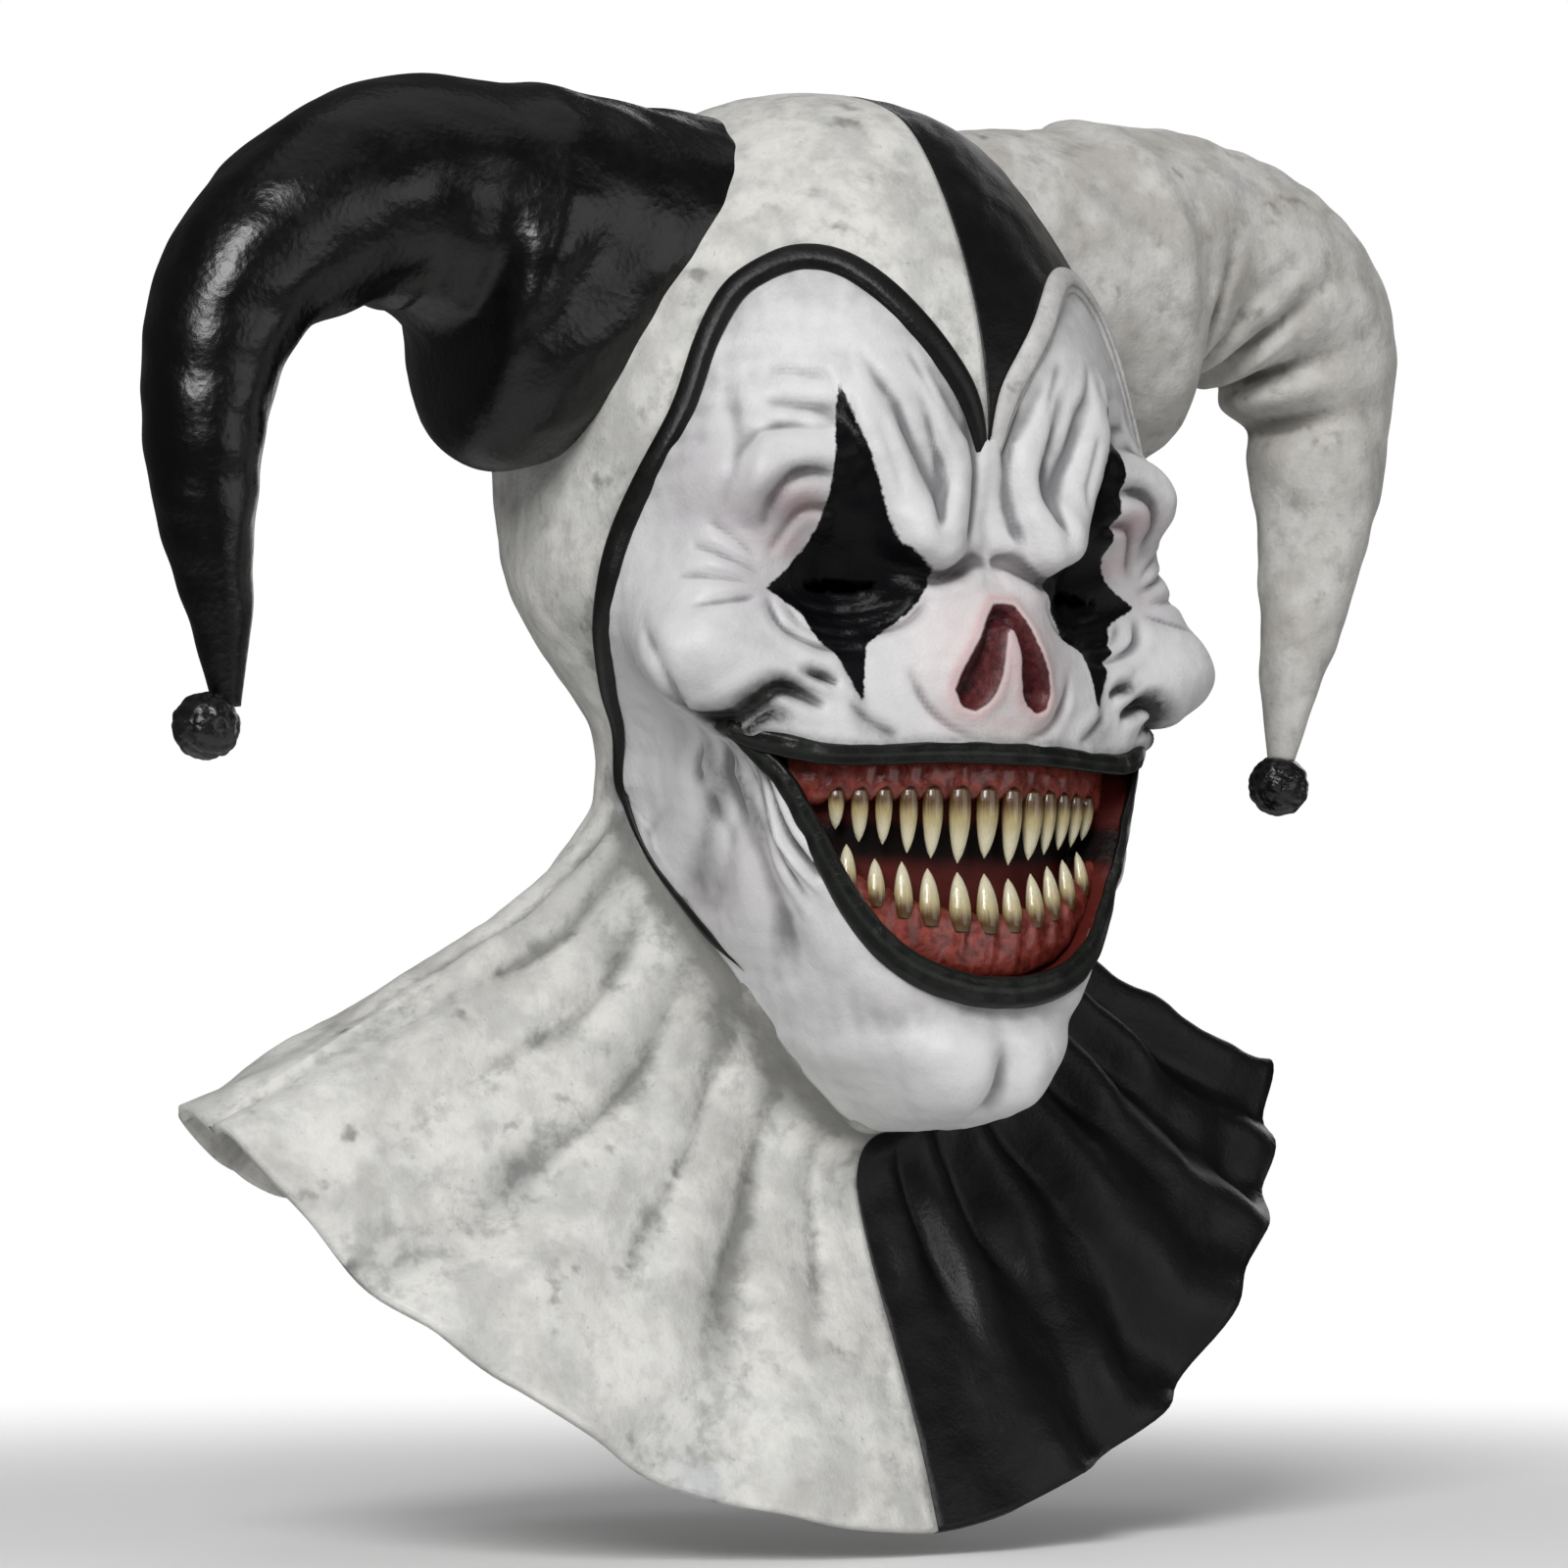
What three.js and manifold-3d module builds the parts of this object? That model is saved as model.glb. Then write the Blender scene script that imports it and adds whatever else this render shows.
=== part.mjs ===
// Full head jester mask in millimetres, face towards -Y, +Z up, origin where the crown rests on a head
import * as THREE from 'three';
import { mergeVertices } from 'three/addons/utils/BufferGeometryUtils.js';
import Module from 'manifold-3d';

const wasm = await Module();
wasm.setup();

// Driving sizes
const wall = 2.5;
const gap = 0.3;
const hoodColumns = 30;
const faceStep = 7;
const faceColumns = 28;
const hornSides = 10;
const toothSides = 6;
const bellRadius = 8.7;
const mouthDepth = 16.5;
const pocketLip = 1.2;

// Each row below is named by its columns
const table = (columns, rows) => {
  const names = columns.split(' ');
  return rows.map((row) => Object.fromEntries(names.map((name, i) => [name, row[i]])));
};

// Sections from hem to crown: drop below the crown at front, side and back, half width, reach forward,
// where it is widest, reach backward and how blunt the front is
const sections = table('front side back half fore mid aft blunt', [
  [391, 279, 325, 180, 58, 17, 112, 1.30],
  [367, 262, 303, 147, 49, 18, 106, 1.20],
  [341, 244, 278, 113, 37, 20, 98, 1.10],
  [316, 226, 250, 80, 25, 20, 87, 1.00],
  [297, 208, 218, 62, 20, 16, 73, 1.00],
  [286, 198, 198, 58, 30, 10, 64, 0.90],
  [284, 191, 184, 60, 62, 2, 62, 0.70],
  [277, 183, 172, 61, 82, -2, 63, 0.65],
  [264, 175, 161, 64, 88, -4, 66, 0.62],
  [246, 167, 150, 70, 88, -4, 70, 0.62],
  [215, 157, 138, 78, 87, -3, 74, 0.62],
  [186, 147, 126, 84, 85, -2, 79, 0.62],
  [162, 136, 113, 87, 82, 0, 84, 0.65],
  [138, 122, 99, 86, 80, 3, 91, 0.68],
  [115, 105, 84, 85, 81, 5, 98, 0.70],
  [90, 84, 68, 84, 80, 7, 101, 0.75],
  [62, 60, 50, 79, 74, 9, 94, 0.85],
  [34, 35, 31, 66, 61, 9, 79, 0.95],
  [12, 13, 12, 46, 43, 8, 58, 1.00],
  [1.5, 1.5, 1.5, 23, 18, 6, 30, 1.00],
  [0, 0, 0, 0, -5, 5, 5, 1.00],
]);

// Rows of the skin as stations along the sections, coarser on the hood than on the face
const hoodStations = [
  0, 0.8, 1.7, 2.7, 3.7, 4.5, 5, 5.7, 6.6, 7.7, 9, 10.3, 11.5, 12.7, 13.9, 15, 16, 17, 18, 19.1,
];
const faceStations = [
  4.3, 5.1, 5.6, 6.3, 7.1, 8, 8.9, 9.7, 10.4, 11, 11.6, 12.2, 12.8, 13.4, 14.1, 14.9, 15.8, 16.8, 19,
];

// Swellings and hollows of the face: angle from the front, drop, width in degrees, height, how far out
const swellings = table('angle drop wide tall out', [
  [21, 88, 13, 24, 5],
  [14, 129, 8, 11, 8],
  [48, 114, 16, 13, 11],
  [0, 124, 5, 14, -4],
  [28, 141, 13, 13, -11],
  [60, 159, 15, 14, 18],
  [54, 137, 11, 11, 5],
  [64, 192, 12, 13, -5],
  [0, 159, 14, 21, 11],
  [9, 269, 9, 12, 5],
  [0, 271, 4, 10, -4],
  [0, 254, 24, 5, -4],
  [53, 208, 6, 26, 2.5],
]);

// Collar folds on each half: how many around the neck, how deep, how far the hem is drawn up
const folds = { right: { count: 11, deep: 4, lift: 0 }, left: { count: 9, deep: 7.5, lift: 0.36 } };
const foldTop = 4.2;

// Edge of the face on the hood: station, angle of the inner edge and of the outer edge
const faceEdge = table('station inner outer', [
  [5.3, -1, 80],
  [5.8, -1, 88],
  [6.95, -1, 94],
  [7.9, -1, 92.5],
  [8.9, -1, 90],
  [10.4, -1, 85.2],
  [11.7, -1, 79.5],
  [12.7, -1, 75],
  [13.45, -1, 69.5],
  [14.15, -1, 63.5],
  [14.5, -1, 60.5],
  [15, 4.5, 57.5],
  [15.35, 9.5, 55.5],
  [15.65, 14.5, 52.5],
  [15.95, 20, 48.5],
  [16.15, 25.5, 42.5],
  [16.28, 32, 36],
]);

// Bead along that edge: angle, station and half width
const beadPath = table('angle station half', [
  [0.9, 14.5, 3],
  [4.5, 15, 3.5],
  [9.5, 15.35, 3.8],
  [14.5, 15.65, 3.9],
  [20, 15.95, 3.9],
  [25.5, 16.16, 3.9],
  [31, 16.26, 3.9],
  [37, 16.26, 3.9],
  [42.5, 16.15, 3.8],
  [48.5, 15.95, 3.7],
  [52.7, 15.6, 3.6],
  [56.2, 15.2, 3.5],
  [59.2, 14.7, 3.5],
  [63.5, 14.15, 3.5],
  [69.5, 13.45, 3.6],
  [75, 12.7, 3.7],
  [79.5, 11.7, 3.6],
  [85.1, 10.4, 3.4],
  [89.9, 8.9, 3],
  [93.6, 7, 2.5],
  [88, 5.85, 2.1],
  [74, 5.35, 1.8],
  [62.5, 5.4, 1.6],
  [50, 5.4, 1.2],
]);
const beadSeat = 0.9;
const beadProfile = table('high wide', [
  [0, 0.95],
  [0, -0.95],
  [0.72, -0.55],
  [0.72, 0.55],
]);

// Horns: distance from the middle, forward or back, height, radius and the depth of the crease below
const blackHorn = table('x y z r crease', [
  [14, 5, -52, 38, 0],
  [40, 3, -47.5, 42, 0],
  [66, 2, -45, 42, -10],
  [84, 3, -44.5, 42, -21],
  [97, 4, -43.5, 41.5, -25],
  [105, 5, -41.8, 38.8, -18],
  [112, 5, -39.8, 36.2, 0],
  [125, 5, -38, 33.4, 3],
  [137, 5, -37.6, 30.6, 0],
  [150, 4, -42.5, 28, 2],
  [164, 3, -50, 25.8, 0],
  [177, 2, -62, 22.8, 1],
  [185.5, 2, -79, 20.6, 0],
  [189.6, 1, -104, 17, 0],
  [189.6, 0, -130, 12, 0],
  [186, 0, -153, 8, 0],
  [183.8, 0, -175, 3.6, 0],
]);
const whiteHorn = table('x y z r crease', [
  [14, 5, -50, 38, 0],
  [40, 3, -45, 42, 0],
  [66, 2, -42, 42.5, -8],
  [84, 3, -41.5, 43, -13],
  [97, 4, -40, 43.5, -14],
  [105, 5, -37.8, 41.6, -12],
  [112, 5, -35.5, 39.4, 0],
  [122, 5, -34, 37.4, 3],
  [134, 5, -34.2, 35, 0],
  [148, 4, -37.3, 34.2, 4],
  [161, 4, -43, 33, 0],
  [171, 3, -52, 30.6, 4],
  [177, 2, -66, 26, 0],
  [179.3, 2, -82, 21.6, 1],
  [178.3, 1, -103, 18.6, 0],
  [174.5, 0, -128, 13.6, 0],
  [168, 0, -155, 9, 0],
  [164.4, 0, -179, 3.8, 0],
]);
const bells = { right: [-190, 0, -180], left: [163.5, 0, -186] };

// Mouth opening, half of it from the middle of the upper edge around to the middle of the lower edge
const mouthHalf = table('x z', [
  [0, -187.2],
  [16, -187.6],
  [32, -188],
  [46, -187.4],
  [56, -185.6],
  [53.5, -197],
  [49.5, -209],
  [44.5, -219.5],
  [37, -230.5],
  [26.5, -238],
  [13, -242],
  [0, -243],
]);

// Middle of the lip roll: angle from the front, drop and half width
const lipHalf = table('angle drop half', [
  [0, 186.2, 3.2],
  [10, 186.4, 3.2],
  [21, 187, 3.1],
  [32, 187, 3.2],
  [43, 185.5, 3.4],
  [51, 183.5, 3],
  [57, 181.5, 2.2],
  [54, 187, 2.6],
  [46.5, 195, 3],
  [41.5, 206, 3.1],
  [38, 217, 3.2],
  [33, 228.5, 3.4],
  [26, 238.5, 3.6],
  [16, 245.3, 3.8],
  [7, 248, 3.9],
  [0, 248.5, 3.9],
]);

// Nose hollow on one side, seen from the front
const noseHollow = table('x z', [
  [2.4, -143.5],
  [6, -146],
  [10.5, -156],
  [15, -166],
  [14, -172.5],
  [8.5, -172.5],
  [4, -163],
  [2, -152],
]);
const noseFloor = -1;

// Eye slit on one side, seen from the front
const eyeSlit = table('x z', [
  [26, -137],
  [33, -135],
  [42, -135.5],
  [51, -139.5],
  [43, -142.5],
  [33, -142],
]);

// Teeth: distance from the middle, root, tip and width, and the arch that they stand on
const upperTeeth = table('x root tip width', [
  [0, 196.8, 213, 6.2],
  [8.4, 196.8, 213.6, 6.2],
  [16.1, 197, 212.8, 5.9],
  [22.6, 197.2, 211.6, 5.1],
  [29, 197.4, 210, 4.9],
  [35, 197.6, 208.4, 4.6],
  [40.7, 197.8, 206, 4.3],
]);
const lowerTeeth = table('x root tip width', [
  [0, 228, 216.6, 6],
  [8.4, 227.6, 217.2, 6],
  [17, 226.2, 215.6, 5.7],
  [24, 224.2, 214, 5.1],
  [31, 221.2, 212.4, 4.9],
  [38, 217.2, 209.8, 4.6],
]);
const arch = (x) => 80 - 11 * (Math.abs(x) / 41) ** 1.8;
const gumFront = 2;
const gumBack = 4;
const upperGumEdge = (x) => 196.5 + Math.abs(x) / 40;
const lowerGumEdge = (x) => 228.3 - 11.5 * (Math.abs(x) / 38) ** 1.8;

// A smooth value between the rows of a table
function blend(rows, at) {
  const last = rows.length - 1;
  const i = Math.min(Math.max(Math.floor(at), 0), last - 1);
  const f = at - i;
  const [a, b, c, d] = [-1, 0, 1, 2].map((k) => rows[Math.min(Math.max(i + k, 0), last)]);
  const mix = (key) => {
    const curve = 2 * a[key] - 5 * b[key] + 4 * c[key] - d[key];
    const twist = 3 * (b[key] - c[key]) + d[key] - a[key];
    return b[key] + 0.5 * f * (c[key] - a[key] + f * (curve + f * twist));
  };
  return Object.fromEntries(Object.keys(b).map((key) => [key, mix(key)]));
}

// The plain skin without relief, at an angle from the front and a station
function plain(angle, station) {
  const s = blend(sections, station);
  const turn = THREE.MathUtils.degToRad(angle);
  const ahead = Math.max(Math.cos(turn), 0);
  const behind = Math.max(-Math.cos(turn), 0);
  const y = s.mid - (s.mid + s.fore) * ahead ** s.blunt + (s.aft - s.mid) * behind;
  const drop = s.side + (s.front - s.side) * ahead ** 1.6 + (s.back - s.side) * behind ** 2.2;
  return new THREE.Vector3(s.half * Math.sin(turn), y, wall - drop);
}

function outward(angle, station) {
  const low = Math.max(station - 0.08, 0);
  const high = Math.min(station + 0.08, sections.length - 1.2);
  const around = plain(angle + 1, station).sub(plain(angle - 1, station));
  const along = plain(angle, high).sub(plain(angle, low));
  return around.cross(along).normalize();
}

// How far the relief stands out from the plain skin
function relief(angle, station, drop) {
  let out = 0;
  for (const s of swellings) {
    for (const side of s.angle ? [-1, 1] : [1]) {
      const across = (angle - side * s.angle) / s.wide;
      const down = (drop - s.drop) / s.tall;
      out += station > 5.2 ? s.out * Math.exp(-across * across - down * down) : 0;
    }
  }
  const fold = angle > 0 ? folds.left : folds.right;
  const spread = Math.max(0, 1 - station / foldTop);
  const meet = Math.min(1, Math.abs(angle) / 14, (180 - Math.abs(angle)) / 14);
  const wave = Math.sin(THREE.MathUtils.degToRad(Math.abs(angle) * fold.count));
  return out + fold.deep * spread * (0.35 + 0.65 * spread) * meet * wave;
}

// A point of the skin, moved out by some amount, with or without its relief
function skin(angle, station, out = 0, carved = true) {
  const point = plain(angle, station);
  const raised = carved ? relief(angle, station, wall - point.z) : 0;
  return point.addScaledVector(outward(angle, station), raised + out);
}

// Columns of the skin as angles from the front
const hoodAngles = [];
for (let i = 0; i < hoodColumns; i += 1) {
  hoodAngles.push((i * 360) / hoodColumns);
}
const faceAngles = [];
for (let i = 0; i <= faceColumns; i += 1) {
  faceAngles.push((i - faceColumns / 2) * faceStep);
}
faceAngles.push(130, 180, 230);
const hoodGrid = { stations: hoodStations, angles: hoodAngles };
const faceGrid = { stations: faceStations, angles: faceAngles };
const signed = (angle) => (angle > 180 ? angle - 360 : angle);

// The hem of the left half is drawn up in scallops
function hemStation(angle, station) {
  if (angle <= 0 || station > 2) {
    return station;
  }
  const meet = Math.min(1, angle / 25, (180 - angle) / 25);
  const scallop = 0.1 * Math.sin(THREE.MathUtils.degToRad(angle * folds.left.count));
  return station + meet * (folds.left.lift + scallop) * (1 - station / 2);
}

// Triangles gathered from points into a closed solid
function solidOf(points, faces) {
  const geometry = new THREE.BufferGeometry();
  const flat = points.flatMap((p) => [p.x, p.y, p.z]);
  geometry.setAttribute('position', new THREE.Float32BufferAttribute(flat, 3));
  geometry.setIndex(faces.flat());
  return solid(geometry);
}

function solid(geometry) {
  const bare = new THREE.BufferGeometry();
  bare.setAttribute('position', geometry.getAttribute('position'));
  bare.setIndex(geometry.getIndex());
  const merged = mergeVertices(bare, 1e-4);
  return new wasm.Manifold(new wasm.Mesh({
    numProp: 3,
    vertProperties: new Float32Array(merged.getAttribute('position').array),
    triVerts: new Uint32Array(merged.getIndex().array),
  }));
}

// One sheet of the skin: rings of points up to a closing point at the crown
function skinSheet(grid, out, carved) {
  const points = [];
  for (const station of grid.stations) {
    for (const column of grid.angles) {
      const angle = signed(column);
      points.push(skin(angle, hemStation(angle, station), out, carved));
    }
  }
  points.push(new THREE.Vector3(0, 5, wall + out));
  return points;
}

function sheetFaces(grid, base, flip) {
  const n = grid.angles.length;
  const rowCount = grid.stations.length;
  const pole = base + rowCount * n;
  const faces = [];
  const face = (a, b, c) => faces.push(flip ? [a, c, b] : [a, b, c]);
  for (let r = 0; r < rowCount; r += 1) {
    for (let c = 0; c < n; c += 1) {
      const [a, b] = [base + r * n + c, base + r * n + ((c + 1) % n)];
      if (r === rowCount - 1) {
        face(a, b, pole);
      } else {
        face(a, b, b + n);
        face(a, b + n, a + n);
      }
    }
  }
  return faces;
}

// The latex wall of the head, open below
function latexWall(grid) {
  const outside = skinSheet(grid, 0, true);
  const inside = skinSheet(grid, -wall, true);
  const faces = sheetFaces(grid, 0, false);
  faces.push(...sheetFaces(grid, outside.length, true));
  const n = grid.angles.length;
  for (let c = 0; c < n; c += 1) {
    const d = (c + 1) % n;
    faces.push([d, c, outside.length + c], [d, outside.length + c, outside.length + d]);
  }
  return solidOf([...outside, ...inside], faces);
}

// The filled head from the neck up, its skin moved out by some amount
function headBlock(grid, out, carved = true) {
  const upper = { angles: grid.angles, stations: grid.stations.filter((station) => station > 4) };
  const points = skinSheet(upper, out, carved);
  const faces = sheetFaces(upper, 0, false);
  const n = upper.angles.length;
  points.push(new THREE.Vector3(0, 25, -230));
  for (let c = 0; c < n; c += 1) {
    faces.push([(c + 1) % n, c, points.length - 1]);
  }
  return solidOf(points, faces);
}

// A block over one half of the face, grown sideways by a gap
function faceBlock(side, by) {
  const across = 10;
  const rows = faceEdge.map((row, i) => {
    const ends = (i === 0 ? -1 : 0) + (i === faceEdge.length - 1 ? 1 : 0);
    const inner = row.inner - (by * 0.7 + 0.001);
    return { station: row.station + ends * by * 0.1, inner, outer: row.outer + by * 0.7 };
  });
  const points = [];
  for (const out of [24, -26]) {
    for (const row of rows) {
      const reach = out * Math.min(1, 0.22 + Math.max(0, row.station - 5.3) / 2);
      for (let i = 0; i <= across; i += 1) {
        const angle = row.inner + ((row.outer - row.inner) * i) / across;
        const p = plain(side * angle, row.station);
        points.push(p.addScaledVector(outward(side * angle, row.station), reach));
      }
    }
  }
  const n = across + 1;
  const sheet = rows.length * n;
  const faces = [];
  const quad = (a, b, c, d) => faces.push(side > 0 ? [a, b, c] : [a, c, b], side > 0 ? [a, c, d] : [a, d, c]);
  for (let r = 0; r < rows.length - 1; r += 1) {
    for (let i = 0; i < across; i += 1) {
      const a = r * n + i;
      quad(a, a + 1, a + n + 1, a + n);
      quad(sheet + a, sheet + a + n, sheet + a + n + 1, sheet + a + 1);
    }
    const [low, high] = [r * n, r * n + n];
    quad(low, high, sheet + high, sheet + low);
    quad(low + across, sheet + low + across, sheet + high + across, high + across);
  }
  const top = (rows.length - 1) * n;
  for (let i = 0; i < across; i += 1) {
    quad(i, sheet + i, sheet + i + 1, i + 1);
    quad(top + i, top + i + 1, sheet + top + i + 1, sheet + top + i);
  }
  return solidOf(points, faces);
}

// A solid through rings of points, capped at both ends or joined into a loop
function loft(rings, loop = false) {
  const n = rings[0].length;
  const points = rings.flat();
  const faces = [];
  const count = loop ? rings.length : rings.length - 1;
  for (let r = 0; r < count; r += 1) {
    const next = ((r + 1) % rings.length) * n;
    for (let i = 0; i < n; i += 1) {
      const j = (i + 1) % n;
      faces.push([r * n + i, r * n + j, next + j], [r * n + i, next + j, next + i]);
    }
  }
  if (!loop) {
    for (const [ring, flip] of [[0, true], [rings.length - 1, false]]) {
      const middle = rings[ring].reduce((sum, p) => sum.add(p), new THREE.Vector3()).divideScalar(n);
      points.push(middle);
      for (let i = 0; i < n; i += 1) {
        const [a, b] = [ring * n + i, ring * n + ((i + 1) % n)];
        faces.push(flip ? [points.length - 1, b, a] : [points.length - 1, a, b]);
      }
    }
  }
  return solidOf(points, faces);
}

// A ring around a path point: its profile in rows of height and breadth, with the height towards a given side
function ringAt(path, i, loop, side, profile, size) {
  const n = path.length;
  const before = path[loop ? (i + n - 1) % n : Math.max(i - 1, 0)];
  const after = path[loop ? (i + 1) % n : Math.min(i + 1, n - 1)];
  const along = after.clone().sub(before).normalize();
  const up = side.clone().addScaledVector(along, -side.dot(along)).normalize();
  const across = along.clone().cross(up);
  return profile.map(({ high, wide }) => {
    return path[i].clone().addScaledVector(up, high * size).addScaledVector(across, wide * size);
  });
}

// A horn's tube, thinned by some amount and with its creases on the underside
function hornTube(rows, side, thin, sides) {
  const kept = rows.filter((row) => row.r > thin + 2.2);
  const path = kept.map((row) => new THREE.Vector3(side * row.x, row.y, row.z + wall));
  const ahead = new THREE.Vector3(0, -1, 0);
  const rings = kept.map((row, i) => {
    const profile = [];
    for (let k = 0; k < sides; k += 1) {
      const turn = (k * 2 * Math.PI) / sides;
      const below = Math.max(0, Math.sin(turn) * side) ** 3;
      const r = row.r - thin - row.crease * below;
      profile.push({ high: r * Math.cos(turn), wide: r * Math.sin(turn) });
    }
    return ringAt(path, i, false, ahead, profile, 1);
  });
  return loft(rings);
}

// A bead lying on the skin: a low arched profile on a flat base
function bead(rows, loop) {
  const path = rows.map((row) => skin(row.angle, row.station, beadSeat));
  const rings = rows.map((row, i) => ringAt(path, i, loop, outward(row.angle, row.station), beadProfile, row.half));
  return loft(rings, loop);
}

// More rows between the rows of a table
function refined(rows, times) {
  const out = [];
  for (let i = 0; i < (rows.length - 1) * times; i += 1) {
    out.push(blend(rows, i / times));
  }
  return [...out, rows[rows.length - 1]];
}

// The station on the skin at an angle and a drop, on the face
function stationAt(angle, drop) {
  let [low, high] = [6.2, 18];
  for (let i = 0; i < 30; i += 1) {
    const middle = (low + high) / 2;
    if (wall - plain(angle, middle).z > drop) {
      low = middle;
    } else {
      high = middle;
    }
  }
  return low;
}

// Flat outlines and the bars that they make through the face
function mirrored(half) {
  const right = half.map((p) => new THREE.Vector2(p.x, p.z));
  const left = half.slice(1, -1).map((p) => new THREE.Vector2(-p.x, p.z));
  return [...right, ...left.reverse()].reverse();
}

function grown(points, by) {
  return points.map((p, i) => {
    const before = points[(i + points.length - 1) % points.length];
    const after = points[(i + 1) % points.length];
    const along = after.clone().sub(before).normalize();
    return new THREE.Vector2(p.x + along.y * by, p.y - along.x * by);
  });
}

function barAlongY(points) {
  const bar = new THREE.ExtrudeGeometry(new THREE.Shape(points), { depth: 90, bevelEnabled: false });
  bar.rotateX(Math.PI / 2);
  bar.translate(0, -30, 0);
  return solid(bar);
}

function barAlongZ(points, low, high) {
  const bar = new THREE.ExtrudeGeometry(new THREE.Shape(points), { depth: high - low, bevelEnabled: false });
  bar.translate(0, 0, low);
  return solid(bar);
}

function counterClockwise(points) {
  return THREE.ShapeUtils.isClockWise(points) ? points.slice().reverse() : points;
}

// A pocket sunk into the wall, with a wall of its own down to its floor
function pocket(body, outline, floor) {
  const around = barAlongY(grown(outline, 2)).intersect(headBlock(faceGrid, -pocketLip));
  const cup = around.subtract(headBlock(hoodGrid, floor - wall, false));
  const hollow = barAlongY(outline).subtract(headBlock(hoodGrid, floor, false));
  return body.add(cup).subtract(hollow);
}

// The half space on one side of the middle
function halfSpace(side) {
  const box = new THREE.BoxGeometry(400, 500, 600);
  box.translate(side * (200 + gap / 2), 0, -200);
  return solid(box);
}

// Face, hood halves and horns
const hoodSeat = headBlock(hoodGrid, gap);
const faceSeat = headBlock(faceGrid, gap);
const faceArea = faceBlock(1, 0).add(faceBlock(-1, 0));
const hoodCut = faceBlock(1, gap).add(faceBlock(-1, gap));

const mouth = counterClockwise(mirrored(mouthHalf));
let face = latexWall(faceGrid).intersect(faceArea);
face = pocket(face, mouth, -mouthDepth);
for (const side of [-1, 1]) {
  const flip = (rows) => counterClockwise(rows.map((p) => new THREE.Vector2(side * p.x, p.z)));
  face = pocket(face, flip(noseHollow), noseFloor);
  face = face.subtract(barAlongY(flip(eyeSlit)));
}

const solids = { face };
const hood = latexWall(hoodGrid).subtract(hoodCut);
const hornRows = { right: blackHorn, left: whiteHorn };
for (const [name, side] of [['right', -1], ['left', 1]]) {
  const rows = hornRows[name];
  const outer = hornTube(rows, side, 0, hornSides);
  const lining = hornTube(rows, side, wall, hornSides);
  const way = hornTube(rows.slice(0, 4), side, 12, hornSides);
  solids[`${name}_hood`] = hood.intersect(halfSpace(side)).subtract(way);
  const horn = outer.subtract(lining).subtract(hoodSeat);
  solids[`${name}_horn`] = horn;
  const [x, y, z] = bells[name];
  const ball = new THREE.SphereGeometry(bellRadius, 9, 6);
  ball.translate(x, y, z + wall);
  const tip = rows.slice(-3).map((row) => ({ ...row, crease: 0 }));
  solids[`${name}_bell`] = solid(ball).subtract(hornTube(tip, side, -gap, hornSides));
  const path = refined(beadPath, 2).map((row) => ({ ...row, angle: side * row.angle }));
  solids[`${name}_trim`] = bead(path, false).subtract(faceSeat).subtract(hoodSeat).intersect(halfSpace(side));
}

// Lips
const lipRow = (row, side) => {
  return { angle: side * row.angle, station: stationAt(side * row.angle, row.drop), half: row.half };
};
const lipRows = [
  ...lipHalf.map((row) => lipRow(row, 1)),
  ...lipHalf.slice(1, -1).reverse().map((row) => lipRow(row, -1)),
];
solids.lips = bead(lipRows, true).subtract(faceSeat);

// Gums
const span = [];
for (let i = -8; i <= 8; i += 1) {
  span.push((i * 52) / 8);
}
const archBand = (front, back) => counterClockwise([
  ...span.map((x) => new THREE.Vector2(x, -arch(x) - front)),
  ...span.slice().reverse().map((x) => new THREE.Vector2(x, -arch(x) + back)),
]);
const gumArch = barAlongZ(archBand(gumFront, gumBack), -270, -170);
const insideMouth = barAlongY(grown(mouth, -gap));
const edgeBar = (edge, far) => barAlongY(counterClockwise([
  ...span.map((x) => new THREE.Vector2(x, wall - edge(x))),
  new THREE.Vector2(60, far),
  new THREE.Vector2(-60, far),
]));
solids.upper_gum = gumArch.intersect(insideMouth).intersect(edgeBar(upperGumEdge, -160));
solids.lower_gum = gumArch.intersect(insideMouth).intersect(edgeBar(lowerGumEdge, -270));

// Teeth
const toothProfile = table('at across', [
  [0, 0.8],
  [0.42, 1],
  [1, 0.08],
]);

function tooth(x, root, tip, width) {
  const turn = Math.atan2(arch(x + 0.5) - arch(x - 0.5), 1);
  const down = tip > root ? 1 : -1;
  const rings = toothProfile.map((row) => {
    const ring = [];
    for (let k = 0; k < toothSides; k += 1) {
      const a = (-down * k * 2 * Math.PI) / toothSides;
      const u = (width / 2) * row.across * Math.cos(a);
      const v = (width / 2) * 0.8 * row.across * Math.sin(a);
      const px = x + u * Math.cos(turn) + v * Math.sin(turn);
      const py = -arch(x) - u * Math.sin(turn) + v * Math.cos(turn);
      ring.push(new THREE.Vector3(px, py, wall - root - (tip - root) * row.at));
    }
    return ring;
  });
  return loft(rings);
}

function teeth(name, rows, ground) {
  const all = [...rows.slice(1).reverse().map((row) => ({ ...row, x: -row.x })), ...rows];
  all.forEach((row, i) => {
    const label = `${name}_tooth_${String(i + 1).padStart(2, '0')}`;
    solids[label] = tooth(row.x, ground(row.x, row.root), row.tip, row.width);
  });
}
teeth('upper', upperTeeth, (x, root) => Math.max(root, upperGumEdge(Math.abs(x) + 3) + gap));
teeth('lower', lowerTeeth, (x, root) => Math.min(root, lowerGumEdge(Math.abs(x) + 3) - gap));

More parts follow.
